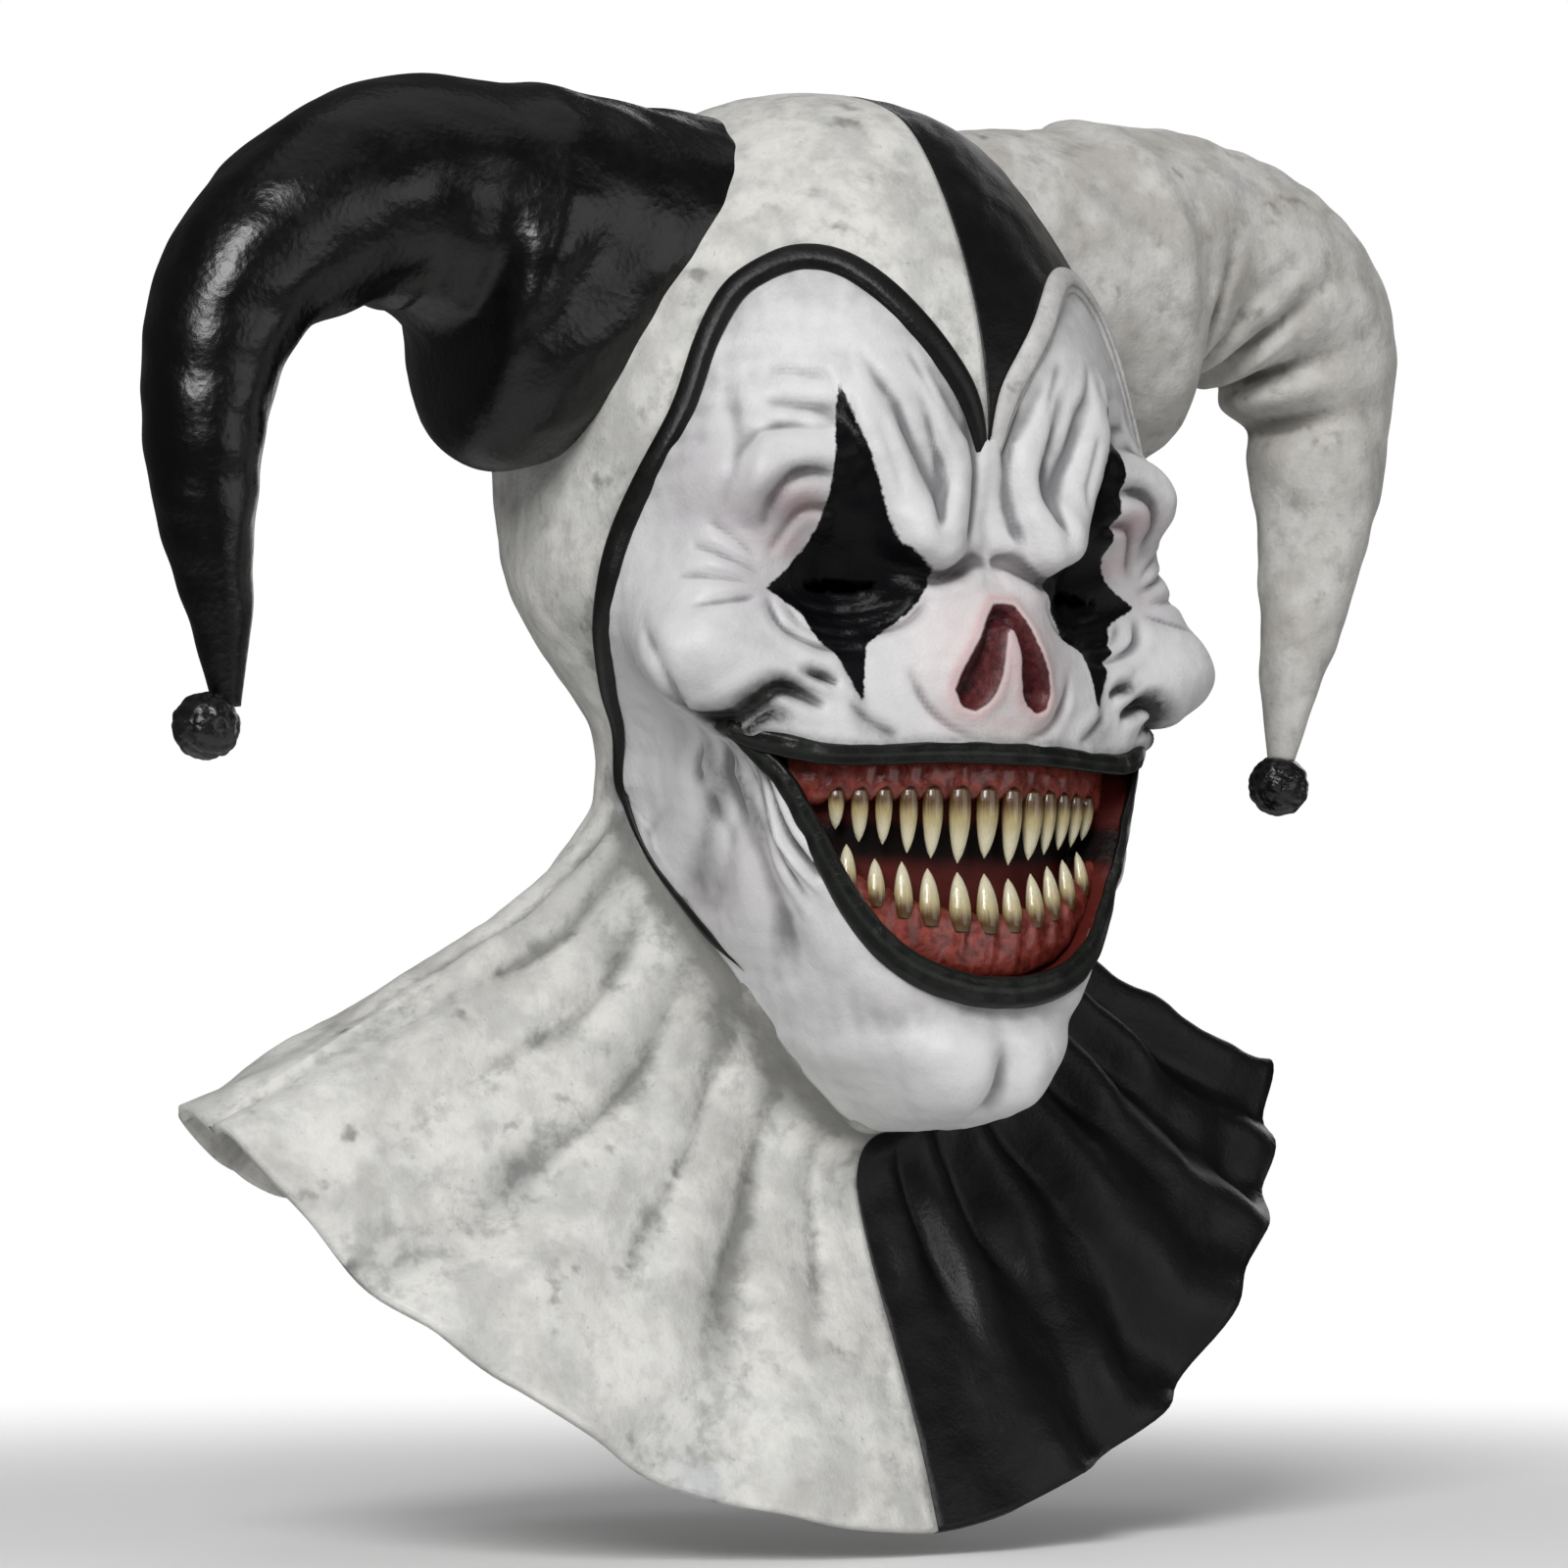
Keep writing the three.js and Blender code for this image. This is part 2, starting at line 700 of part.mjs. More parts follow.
// Colours of the pieces
const colours = {
  face: 0xe4e2e0,
  right_hood: 0xcfcdc6,
  left_hood: 0x1d1d1d,
  right_horn: 0x1a1a1a,
  left_horn: 0xc9c7c1,
  right_bell: 0x101010,
  left_bell: 0x101010,
  right_trim: 0x20211e,
  left_trim: 0xbcbab6,
  lips: 0x1b1d1a,
  upper_gum: 0x7d3029,
  lower_gum: 0x6d2420,
};
const ivory = 0xcdbd88;

const mask = new THREE.Group();
mask.name = 'jester_mask';
for (const [name, body] of Object.entries(solids)) {
  const { vertProperties, triVerts } = body.getMesh();
  const geometry = new THREE.BufferGeometry();
  geometry.setAttribute('position', new THREE.Float32BufferAttribute(vertProperties, 3));
  geometry.setIndex(Array.from(triVerts));
  geometry.computeVertexNormals();
  const roughness = name.includes('tooth') ? 0.25 : 0.5;
  const material = new THREE.MeshStandardMaterial({ color: colours[name] ?? ivory, roughness });
  const mesh = new THREE.Mesh(geometry, material);
  mesh.name = name;
  mask.add(mesh);
}

export default mask;
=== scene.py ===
import bpy
import numpy as np
from mathutils import Matrix, Vector


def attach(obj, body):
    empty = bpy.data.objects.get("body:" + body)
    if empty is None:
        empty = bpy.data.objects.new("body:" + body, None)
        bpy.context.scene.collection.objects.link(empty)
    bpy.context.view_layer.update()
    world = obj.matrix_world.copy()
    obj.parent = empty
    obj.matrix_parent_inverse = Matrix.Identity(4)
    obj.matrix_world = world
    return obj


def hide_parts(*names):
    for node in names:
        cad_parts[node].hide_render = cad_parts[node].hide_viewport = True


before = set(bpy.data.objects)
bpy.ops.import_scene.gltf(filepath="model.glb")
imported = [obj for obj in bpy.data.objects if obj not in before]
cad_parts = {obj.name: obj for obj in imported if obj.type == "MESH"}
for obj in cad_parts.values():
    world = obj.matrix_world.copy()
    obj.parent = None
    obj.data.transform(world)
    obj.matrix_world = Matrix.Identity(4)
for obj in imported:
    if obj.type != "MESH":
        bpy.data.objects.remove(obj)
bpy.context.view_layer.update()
mm = 0.001
wall = 2.5  # latex thickness in mm
print("frame loaded:", len(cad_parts), "nodes")


# tables and smooth steps

def between(rows, at):
    # Catmull-Rom: every column runs smoothly through the rows, read at a fractional row number
    rows = np.asarray(rows, float)
    at = np.asarray(at, float)
    last = len(rows) - 1
    i = np.clip(np.floor(at).astype(int), 0, last - 1)
    f = (at - i)[..., None]
    a, b, c, d = (rows[np.clip(i + k, 0, last)] for k in (-1, 0, 1, 2))
    return b + 0.5 * f * (c - a + f * (2 * a - 5 * b + 4 * c - d + f * (3 * (b - c) + d - a)))


def smooth(x):
    # 0 below 0, 1 above 1, and an S between
    x = np.clip(x, 0, 1)
    return x * x * (3 - 2 * x)


def bump(x, wide):
    # bell curve of height 1
    return np.exp(-((x / wide) ** 2))


def unit(v):
    return v / (np.linalg.norm(v, axis=-1, keepdims=True) + 1e-9)


def roundSteps(count):
    return np.linspace(0, 2 * np.pi, count, endpoint=False)


def evenly(path, values, count):
    # values at even lengths along a path
    way = np.concatenate([[0], np.cumsum(np.linalg.norm(np.diff(path, axis=0), axis=1))])
    return np.interp(np.linspace(0, way[-1], count), way, values)


def lumps(points, size, seed, waves=9):
    # slow unevenness from -1 to 1: the mean of sine waves in seeded directions, about one size long
    rng = np.random.default_rng(seed)
    ways = unit(rng.normal(size=(waves, 3))) * (2 * np.pi / size) * rng.uniform(0.7, 1.4, (waves, 1))
    return np.sin(points @ ways.T + rng.uniform(0, 6.3, waves)).mean(-1) * 2


def blurred(field, times):
    # each pass takes the mean of a grid value and its four neighbours
    for _ in range(times):
        wide = np.pad(field, 1, mode="edge")
        aside = wide[1:-1, :-2] + wide[1:-1, 2:]
        field = (field + wide[:-2, 1:-1] + wide[2:, 1:-1] + aside) / 5
    return field


# the skin of the head and collar, in degrees from the front and stations from hem to crown

skin = {
    "sections": [  # front side back drop, half width, fore, mid, aft, blunt
        [391, 279, 325, 180, 58, 17, 112, 1.30], [367, 262, 303, 147, 49, 18, 106, 1.20],
        [341, 244, 278, 113, 37, 20, 98, 1.10], [316, 226, 250, 80, 25, 20, 87, 1.00],
        [297, 208, 218, 62, 20, 16, 73, 1.00], [286, 198, 198, 58, 30, 10, 64, 0.90],
        [284, 191, 184, 60, 62, 2, 62, 0.70], [277, 183, 172, 61, 82, -2, 63, 0.65],
        [264, 175, 161, 64, 88, -4, 66, 0.62], [246, 167, 150, 70, 88, -4, 70, 0.62],
        [215, 157, 138, 78, 87, -3, 74, 0.62], [186, 147, 126, 84, 85, -2, 79, 0.62],
        [162, 136, 113, 87, 82, 0, 84, 0.65], [138, 122, 99, 86, 80, 3, 91, 0.68],
        [115, 105, 84, 85, 81, 5, 98, 0.70], [90, 84, 68, 84, 80, 7, 101, 0.75],
        [62, 60, 50, 79, 74, 9, 94, 0.85], [34, 35, 31, 66, 61, 9, 79, 0.95],
        [12, 13, 12, 46, 43, 8, 58, 1.00], [1.5, 1.5, 1.5, 23, 18, 6, 30, 1.00],
        [0, 0, 0, 0, -5, 5, 5, 1.00],
    ],
    "swellings": [  # angle, drop, wide, tall, out
        [21, 88, 13, 24, 5], [14, 129, 8, 11, 8], [48, 114, 16, 13, 11], [0, 124, 5, 14, -4],
        [28, 141, 13, 13, -11], [60, 159, 15, 14, 18], [54, 137, 11, 11, 5], [64, 192, 12, 13, -5],
        [0, 159, 14, 21, 11], [9, 269, 9, 12, 5], [0, 271, 4, 10, -4], [0, 254, 24, 5, -4],
        [53, 208, 6, 26, 2.5],
    ],
    "collarTop": 4.6,
    "foldTop": 4.2,
    "rightFolds": [11, 4.0],  # count, deep
    "leftFolds": [9, 7.5],
    "leftLift": 0.36,
}


def plainSkin(angle, station):
    # superellipse sections that slope from front to back
    row = np.moveaxis(between(skin["sections"], station), -1, 0)
    front, side, back, half, fore, mid, aft, blunt = row
    turn = np.radians(angle)
    ahead = np.maximum(np.cos(turn), 0)
    behind = np.maximum(-np.cos(turn), 0)
    y = mid - (mid + fore) * ahead**blunt + (aft - mid) * behind
    drop = side + (front - side) * ahead**1.6 + (back - side) * behind**2.2
    return np.stack([half * np.sin(turn), y, wall - drop], -1)


def outwardOf(angle, station):
    # normal: the step around the head, wider on the collar's sharp shoulder, crossed with the step up it
    step = 1 + 9 * smooth((skin["collarTop"] - station) / 1.6)
    rise, top = 0.08, 19.8
    around = plainSkin(angle + step, station) - plainSkin(angle - step, station)
    above, below = np.minimum(station + rise, top), np.maximum(station - rise, 0)
    return unit(np.cross(around, plainSkin(angle, above) - plainSkin(angle, below)))



def mainRelief(angle, station, drop):
    # swellings are bell curves on both sides, collar folds are sine waves that grow towards the hem
    out = np.zeros(np.shape(angle))
    for at, low, wide, tall, high in skin["swellings"]:
        for side in ((-1, 1) if at else (1,)):
            out = out + high * bump(angle - side * at, wide) * bump(drop - low, tall)
    out = np.where(station > 5.2, out, 0)
    turn = np.abs(angle)
    spread = np.maximum(0, 1 - station / skin["foldTop"])
    meet = np.minimum(1, np.minimum(turn, 180 - turn) / 14)
    count = np.where(angle > 0, skin["leftFolds"][0], skin["rightFolds"][0])
    deep = np.where(angle > 0, skin["leftFolds"][1], skin["rightFolds"][1])
    return out + deep * spread * (0.35 + 0.65 * spread) * meet * np.sin(np.radians(turn * count))


def skinAt(angle, station, out=0.0):
    # the skin with its main relief, moved out by some mm
    angle, station = np.broadcast_arrays(np.asarray(angle, float), np.asarray(station, float))
    p = plainSkin(angle, station)
    raised = mainRelief(angle, station, wall - p[..., 2]) + out
    return p + outwardOf(angle, station) * raised[..., None]


def stationAt(angle, drop):
    # bisection for the station on the face at an angle and a drop
    low = np.full(np.shape(angle), 6.2)
    high = np.full(np.shape(angle), 18.0)
    for _ in range(26):
        middle = (low + high) / 2
        below = wall - plainSkin(angle, middle)[..., 2] > drop
        low = np.where(below, middle, low)
        high = np.where(below, high, middle)
    return low


# the face's edge on the hood: station, inner angle, outer angle
faceEdge = np.array([
    [5.3, 0, 82], [5.6, 0, 88], [6.1, 0, 94.6], [6.6, 0, 96.2], [7.2, 0, 95.6], [7.9, 0, 94.2],
    [8.9, 0, 90.8], [10.4, 0, 86.1], [11.7, 0, 79.5], [12.7, 0, 75], [13.45, 0, 69.5],
    [14.15, 0, 63.5], [14.5, 0, 60.5], [15, 4.5, 57.5],
    [15.35, 9.5, 55.5], [15.65, 14.5, 52.5], [15.95, 20, 48.5], [16.15, 25.5, 42.5],
    [16.28, 32, 36],
])


def edgeDip(turn, station):
    # stations by which the face's lower edge dips at the corner of the jaw
    return 0.5 * bump(turn - 77, 15) * smooth((6.8 - station) / 1.4)


def edgeDepth(angle, station):
    # about how many mm a point lies inside the face's edge
    turn = np.abs(angle)
    station = station + edgeDip(turn, station)
    inner = np.interp(station, faceEdge[:, 0], faceEdge[:, 1])
    outer = np.interp(station, faceEdge[:, 0], faceEdge[:, 2])
    depth = np.minimum(outer - turn, np.where(inner > 0, turn - inner, 99)) * 1.4
    ends = np.minimum((station - faceEdge[0, 0]) * 12, (faceEdge[-1, 0] - station) * 26)
    return np.minimum(depth, ends)


# strokes and outlines on the face, in degrees and drop

degreeMm = 1.46


def strokeAt(angle, drop, path):
    # distance in mm to a smooth line through the points, and the share of the way along it
    line = between(path, np.linspace(0, len(path) - 1, 4 * len(path))) * [degreeMm, 1]
    steps = np.diff(line, axis=0)
    lengths = np.linalg.norm(steps, axis=1)
    starts = np.concatenate([[0], np.cumsum(lengths)])
    near = np.full(angle.shape, 1e6)
    share = np.zeros(angle.shape)
    u, v = angle * degreeMm, drop
    for (pu, pv), (du, dv), length, start in zip(line[:-1], steps, lengths, starts):
        t = np.clip(((u - pu) * du + (v - pv) * dv) / (length**2 + 1e-9), 0, 1)
        d = np.hypot(u - pu - t * du, v - pv - t * dv)
        closer = d < near
        near = np.where(closer, d, near)
        share = np.where(closer, (start + t * length) / starts[-1], share)
    return near, share


def outlineAt(u, v, ring):
    # signed distance to a closed outline, negative inside by the even-odd rule
    ring = np.asarray(ring, float)
    near = np.full(u.shape, 1e6)
    inside = np.zeros(u.shape, bool)
    for (au, av), (bu, bv) in zip(ring, np.roll(ring, -1, axis=0)):
        du, dv = bu - au, bv - av
        t = np.clip(((u - au) * du + (v - av) * dv) / (du * du + dv * dv + 1e-9), 0, 1)
        near = np.minimum(near, np.hypot(u - au - t * du, v - av - t * dv))
        crosses = (av > v) != (bv > v)
        inside ^= crosses & (u < au + (v - av) * du / (dv if abs(dv) > 1e-9 else 1e-9))
    return np.where(inside, -near, near)


def snapped(points, ring, reach):
    # points close to an outline in x and z move onto it, by its distance along the slope of that distance
    x, z = np.abs(points[..., 0]), points[..., 2]
    far = outlineAt(x, z, ring)
    step = 0.05
    slopeX = (outlineAt(x + step, z, ring) - far) / step
    slopeZ = (outlineAt(x, z + step, ring) - far) / step
    shift = np.where(np.abs(far) < reach, far, 0)
    points[..., 0] -= shift * slopeX * np.sign(points[..., 0])
    points[..., 2] -= shift * slopeZ
    return far - shift


# mesh making

def gridFaces(index):
    # quads between neighbouring rows and columns
    return np.stack([index[:-1, :-1], index[:-1, 1:], index[1:, 1:], index[1:, :-1]], -1).reshape(-1, 4)


def makePiece(name, points, faces, material, nodes, values, thick=0.0):
    # points in mm, quads or triangles as rows of numbers, values as a number for each point
    points = points.reshape(-1, 3)
    used, flat = np.unique(np.concatenate([f.ravel() for f in faces]), return_inverse=True)
    rows, start = [], 0
    for f in faces:
        rows += flat[start:start + f.size].reshape(f.shape).tolist()
        start += f.size
    mesh = bpy.data.meshes.new(name)
    mesh.from_pydata((points[used] * mm).tolist(), [], rows)
    mesh.polygons.foreach_set("use_smooth", np.ones(len(rows), bool))
    for key, value in values.items():
        layer = mesh.attributes.new(key, "FLOAT", "POINT")
        layer.data.foreach_set("value", np.ascontiguousarray(value.ravel()[used], dtype=np.float32))
    mesh.update()
    mesh.materials.append(material)
    piece = bpy.data.objects.new(name, mesh)
    bpy.context.scene.collection.objects.link(piece)
    if thick:
        shell = piece.modifiers.new("wall", "SOLIDIFY")
        shell.thickness = thick * mm
        shell.offset = -1
    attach(piece, "root")
    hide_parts(*nodes)


def makeTube(name, points, values, material, node, poles=None, poleValues=(0, 0), flip=False):
    # rings of points in a row, each end closed by a fan to a pole, the ring's middle unless one is given
    rows, columns = points.shape[:2]
    count = rows * columns
    index = np.pad(np.arange(count).reshape(rows, columns), ((0, 0), (0, 1)), mode="wrap")
    faces = [gridFaces(index),
             np.stack([index[0, 1:], index[0, :-1], np.full(columns, count)], 1),
             np.stack([index[-1, :-1], index[-1, 1:], np.full(columns, count + 1)], 1)]
    if flip:
        faces = [f[:, ::-1] for f in faces]
    if poles is None:
        poles = points[[0, -1]].mean(1)
    points = np.concatenate([points.reshape(-1, 3), poles])
    full = {}
    for key, value in values.items():
        full[key] = np.append(np.broadcast_to(value, (rows, columns)), poleValues)
    makePiece(name, points, faces, material, [node], full)


# materials

def nodeIn(tree, kind, at=None, **settings):
    node = tree.nodes.new(kind)
    for key, value in settings.items():
        setattr(node, key, value)
    for key, value in (at or {}).items():
        if isinstance(value, bpy.types.NodeSocket):
            tree.links.new(value, node.inputs[key])
        else:
            node.inputs[key].default_value = value
    return node


def mathIn(tree, operation, a, b=0.0, clamp=False):
    return nodeIn(tree, "ShaderNodeMath", {0: a, 1: b}, operation=operation, use_clamp=clamp).outputs[0]


def rangeIn(tree, value, low, high, toLow=0.0, toHigh=1.0, kind="SMOOTHSTEP"):
    given = {"Value": value, "From Min": low, "From Max": high, "To Min": toLow, "To Max": toHigh}
    return nodeIn(tree, "ShaderNodeMapRange", given, interpolation_type=kind).outputs["Result"]


def mixIn(tree, amount, a, b, blend="MIX"):
    node = nodeIn(tree, "ShaderNodeMix", data_type="RGBA", blend_type=blend)
    sockets = {s.identifier: s for s in node.inputs}
    for key, value in (("Factor_Float", amount), ("A_Color", a), ("B_Color", b)):
        if isinstance(value, bpy.types.NodeSocket):
            tree.links.new(value, sockets[key])
        else:
            sockets[key].default_value = value if key == "Factor_Float" else (*value, 1)
    return [s for s in node.outputs if s.identifier == "Result_Color"][0]


def noiseIn(tree, vector, scale, detail=4.0, rough=0.55, twist=0.0):
    given = {"Vector": vector, "Scale": scale, "Detail": detail, "Roughness": rough, "Distortion": twist}
    return nodeIn(tree, "ShaderNodeTexNoise", given).outputs["Fac"]


def newGroup(name, *outputs):
    # a group that takes a place and a scale and gives numbers
    group = bpy.data.node_groups.new(name, "ShaderNodeTree")
    group.interface.new_socket(name="Vector", in_out="INPUT", socket_type="NodeSocketVector")
    group.interface.new_socket(name="Size", in_out="INPUT", socket_type="NodeSocketFloat")
    for label in outputs:
        group.interface.new_socket(name=label, in_out="OUTPUT", socket_type="NodeSocketFloat")
    return group, group.nodes.new("NodeGroupInput").outputs, group.nodes.new("NodeGroupOutput").inputs


def mottleGroup():
    # blotches are two soft noises multiplied, specks are the peaks of a fine one, streaks a stretched one
    group, given, out = newGroup("mottle", "Blotch", "Speck", "Streak")
    vector, size = given["Vector"], given["Size"]
    broad = noiseIn(group, vector, size, 6, 0.6, 0.4)
    close = noiseIn(group, vector, mathIn(group, "MULTIPLY", size, 3.7), 8, 0.66, 0.2)
    blotch = mathIn(group, "MULTIPLY", rangeIn(group, broad, 0.36, 0.68), rangeIn(group, close, 0.3, 0.72))
    fine = noiseIn(group, vector, mathIn(group, "MULTIPLY", size, 13.0), 5, 0.6)
    squeezed = nodeIn(group, "ShaderNodeMapping", {"Vector": vector, "Scale": (3.2, 3.2, 0.55)}).outputs[0]
    drawn = noiseIn(group, squeezed, mathIn(group, "MULTIPLY", size, 1.6), 7, 0.62, 0.3)
    group.links.new(blotch, out["Blotch"])
    group.links.new(rangeIn(group, fine, 0.62, 0.74), out["Speck"])
    group.links.new(rangeIn(group, drawn, 0.48, 0.72), out["Streak"])
    return group


def grainGroup():
    # height of cast latex: fine pores over a slow waviness
    group, given, out = newGroup("grain", "Height")
    pores = noiseIn(group, given["Vector"], given["Size"], 5, 0.6)
    waves = noiseIn(group, given["Vector"], mathIn(group, "MULTIPLY", given["Size"], 0.14), 3, 0.5)
    group.links.new(mathIn(group, "ADD", mathIn(group, "MULTIPLY", pores, 0.35), waves), out["Height"])
    return group


groups = {"mottle": mottleGroup(), "grain": grainGroup()}


def newMaterial(name, **fixed):
    # a Principled shader with its constants set, the tree, and the object's own coordinates
    material = bpy.data.materials.new(name)
    material.use_nodes = True
    tree = material.node_tree
    shader = tree.nodes["Principled BSDF"]
    for key, value in fixed.items():
        shader.inputs[key.replace("_", " ")].default_value = value
    place = nodeIn(tree, "ShaderNodeTexCoord").outputs["Object"]
    return material, tree, shader, place


def placeGroup(tree, key, vector, size):
    node = nodeIn(tree, "ShaderNodeGroup", node_tree=groups[key])
    tree.links.new(vector, node.inputs["Vector"])
    node.inputs["Size"].default_value = size
    return node.outputs


def valueIn(tree, name):
    return nodeIn(tree, "ShaderNodeAttribute", attribute_name=name).outputs["Fac"]


def tint(tree, colour, mask, amount, over):
    # one colour laid over another where a mask says, at part strength
    return mixIn(tree, mathIn(tree, "MULTIPLY", mask, amount), colour, over)


def finishIn(tree, shader, colour, rough, height, deep):
    # the shader's colour, roughness and fine relief
    relief = nodeIn(tree, "ShaderNodeBump", {"Height": height, "Distance": deep}).outputs[0]
    for key, value in (("Base Color", colour), ("Roughness", rough), ("Normal", relief)):
        tree.links.new(value, shader.inputs[key])


def faceMaterial():
    # white latex with painted shade, grey in its hollows and dark in its creases, painted eyes, dark paint at
    # the mouth's corners and a raw nose
    look = {"white": (0.64, 0.64, 0.645), "grey": (0.15, 0.147, 0.155), "plum": (0.30, 0.235, 0.27),
            "black": (0.0028, 0.0028, 0.0036), "pink": (0.56, 0.30, 0.29), "maroon": (0.055, 0.008, 0.010),
            "raw": (0.13, 0.026, 0.028), "deep": (0.006, 0.002, 0.002), "throat": (0.085, 0.012, 0.009),
            "sootAndShade": (0.020, 0.021, 0.019)}
    material, tree, shader, place = newMaterial("faceLatex")
    brush = noiseIn(tree, place, 420, 5, 0.6)
    colour = tint(tree, look["white"], placeGroup(tree, "mottle", place, 55)["Blotch"], 0.2, look["plum"])
    # painted shade: grey where the shade value marks a hollow and towards the trim
    hollow = mathIn(tree, "ADD", valueIn(tree, "shade"), mathIn(tree, "MULTIPLY", brush, 0.3))
    colour = tint(tree, colour, rangeIn(tree, hollow, 0.15, 1.35), 0.9, look["grey"])
    colour = tint(tree, colour, valueIn(tree, "plum"), 0.6, look["plum"])
    colour = mixIn(tree, valueIn(tree, "blush"), colour, look["pink"])
    # painted shade darkens the creases here, with dark paint at the mouth's corners
    uneven = rangeIn(tree, noiseIn(tree, place, 300, 6, 0.66, 0.5), 0.3, 0.7, 0.7, 1.15)
    colour = mixIn(tree, mathIn(tree, "MULTIPLY", valueIn(tree, "sootAndShade"), uneven, True), colour, look["sootAndShade"])
    stray = mathIn(tree, "SUBTRACT", noiseIn(tree, place, 520, 4, 0.6), 0.5)
    ragged = mathIn(tree, "ADD", valueIn(tree, "eyePaint"), mathIn(tree, "MULTIPLY", stray, 1.6))
    paint = rangeIn(tree, ragged, 0.35, -0.35)
    colour = mixIn(tree, paint, colour, look["black"])
    raw = mixIn(tree, rangeIn(tree, brush, 0.35, 0.7), look["maroon"], look["raw"])
    colour = mixIn(tree, rangeIn(tree, valueIn(tree, "nostril"), 0.6, -0.2), colour, raw)
    maw = rangeIn(tree, valueIn(tree, "maw"), 0.8, -0.4)
    colour = mixIn(tree, maw, colour, mixIn(tree, valueIn(tree, "throat"), look["deep"], look["throat"]))
    dull = rangeIn(tree, mathIn(tree, "MAXIMUM", paint, maw), 0, 1, 0.4, 0.12, "LINEAR")
    tree.links.new(dull, shader.inputs["Specular IOR Level"])
    rough = rangeIn(tree, paint, 0, 1, 0.45, 0.3, "LINEAR")
    finishIn(tree, shader, colour, rough, placeGroup(tree, "grain", place, 1100)["Height"], 0.00045)
    return material


def grimeAndShadeMaterial(name, base, stain, dark, size, amount):
    # off-white latex with painted shade in its hollows, grey grime blotches, streaks and a few brown and blue
    # spots
    brown, blue, sootAndShade = (0.33, 0.29, 0.22), (0.33, 0.38, 0.45), (0.16, 0.15, 0.14)
    material, tree, shader, place = newMaterial(name, Specular_IOR_Level=0.35)
    mottle = placeGroup(tree, "mottle", place, size)
    moved = nodeIn(tree, "ShaderNodeMapping", {"Vector": place, "Location": (0.3, 0.1, 0.7)}).outputs[0]
    blots = placeGroup(tree, "mottle", moved, size * 0.6)["Blotch"]
    soft = rangeIn(tree, noiseIn(tree, place, size * 1.2, 5, 0.55, 0.3), 0.4, 0.66)
    middle = rangeIn(tree, noiseIn(tree, place, size * 4, 6, 0.62, 0.2), 0.42, 0.68)
    smudge = rangeIn(tree, noiseIn(tree, place, size * 2, 4, 0.5), 0.63, 0.76)
    cool = rangeIn(tree, noiseIn(tree, place, size * 0.7, 3), 0.6, 0.78)
    hollow = mathIn(tree, "ADD", valueIn(tree, "shade"), mathIn(tree, "MULTIPLY", middle, 0.3))
    colour = base
    # painted shade: the hollow entry darkens where the shade value marks a hollow; the other entries are
    # grime, spots and dark specks
    for mask, strength, over in (
            (soft, amount, stain), (middle, amount * 0.6, stain), (mottle["Streak"], amount * 0.16, dark),
            (smudge, amount, dark), (blots, 0.2, brown), (cool, 0.25, blue),
            (rangeIn(tree, hollow, 0.1, 1.3), 0.75, dark), (mottle["Speck"], 0.35, sootAndShade)):
        colour = tint(tree, colour, mask, strength, over)
    rough = rangeIn(tree, mottle["Blotch"], 0, 1, 0.5, 0.68, "LINEAR")
    finishIn(tree, shader, colour, rough, placeGroup(tree, "grain", place, 800)["Height"], 0.0007)
    return material


def blackMaterial(name, base, worn, rough, grain, deep, cells=0.0, shine=0.25):
    # black latex, greyer where it is rubbed, with fine pores and where asked a leathery cell pattern
    material, tree, shader, place = newMaterial(name, Specular_IOR_Level=shine)
    blotch = placeGroup(tree, "mottle", place, 45)["Blotch"]
    colour = tint(tree, base, rangeIn(tree, valueIn(tree, "shade"), 0.0, -0.9), 0.5, worn)
    colour = tint(tree, colour, blotch, 0.4, worn)
    height = placeGroup(tree, "grain", place, grain)["Height"]
    if cells:
        given = {"Vector": place, "Scale": cells}
        cell = nodeIn(tree, "ShaderNodeTexVoronoi", given, feature="F1").outputs["Distance"]
        height = mathIn(tree, "ADD", height, mathIn(tree, "MULTIPLY", cell, 0.3))
    finishIn(tree, shader, colour, rangeIn(tree, blotch, 0, 1, rough, rough + 0.16, "LINEAR"), height, deep)
    return material


def gumMaterial():
    # wet red latex with paler veins, darker over the roots of the teeth
    look = {"red": (0.10, 0.013, 0.009), "vein": (0.27, 0.05, 0.036), "dark": (0.022, 0.005, 0.003)}
    material, tree, shader, place = newMaterial("gumLatex", Specular_IOR_Level=0.4, Coat_Weight=0.25,
                                                Coat_Roughness=0.2)
    vein = noiseIn(tree, place, 240, 6, 0.65, 0.8)
    colour = mixIn(tree, rangeIn(tree, vein, 0.35, 0.68), look["red"], look["vein"])
    colour = mixIn(tree, valueIn(tree, "shade"), colour, look["dark"])
    finishIn(tree, shader, colour, rangeIn(tree, vein, 0.2, 0.8, 0.2, 0.38, "LINEAR"), vein, 0.0003)
    return material


def toothMaterial():
    # ivory that yellows towards the root, brown at the gum, with fine upright lines
    look = {"yellow": (0.42, 0.34, 0.16), "ivory": (0.63, 0.58, 0.41), "brown": (0.085, 0.038, 0.009)}
    material, tree, shader, place = newMaterial("toothIvory", Specular_IOR_Level=0.6, Coat_Weight=0.8,
                                                Coat_Roughness=0.06)
    squeezed = nodeIn(tree, "ShaderNodeMapping", {"Vector": place, "Scale": (9, 9, 0.8)}).outputs[0]
    lines = noiseIn(tree, squeezed, 190, 4)
    stray = mathIn(tree, "MULTIPLY", mathIn(tree, "SUBTRACT", lines, 0.5), 0.16)
    along = mathIn(tree, "ADD", valueIn(tree, "along"), stray)
    colour = mixIn(tree, rangeIn(tree, along, 0.36, 0.8), look["yellow"], look["ivory"])
    colour = mixIn(tree, rangeIn(tree, along, 0.46, 0.16), colour, look["brown"])
    finishIn(tree, shader, colour, rangeIn(tree, lines, 0.2, 0.8, 0.2, 0.36, "LINEAR"), lines, 0.0003)
    return material


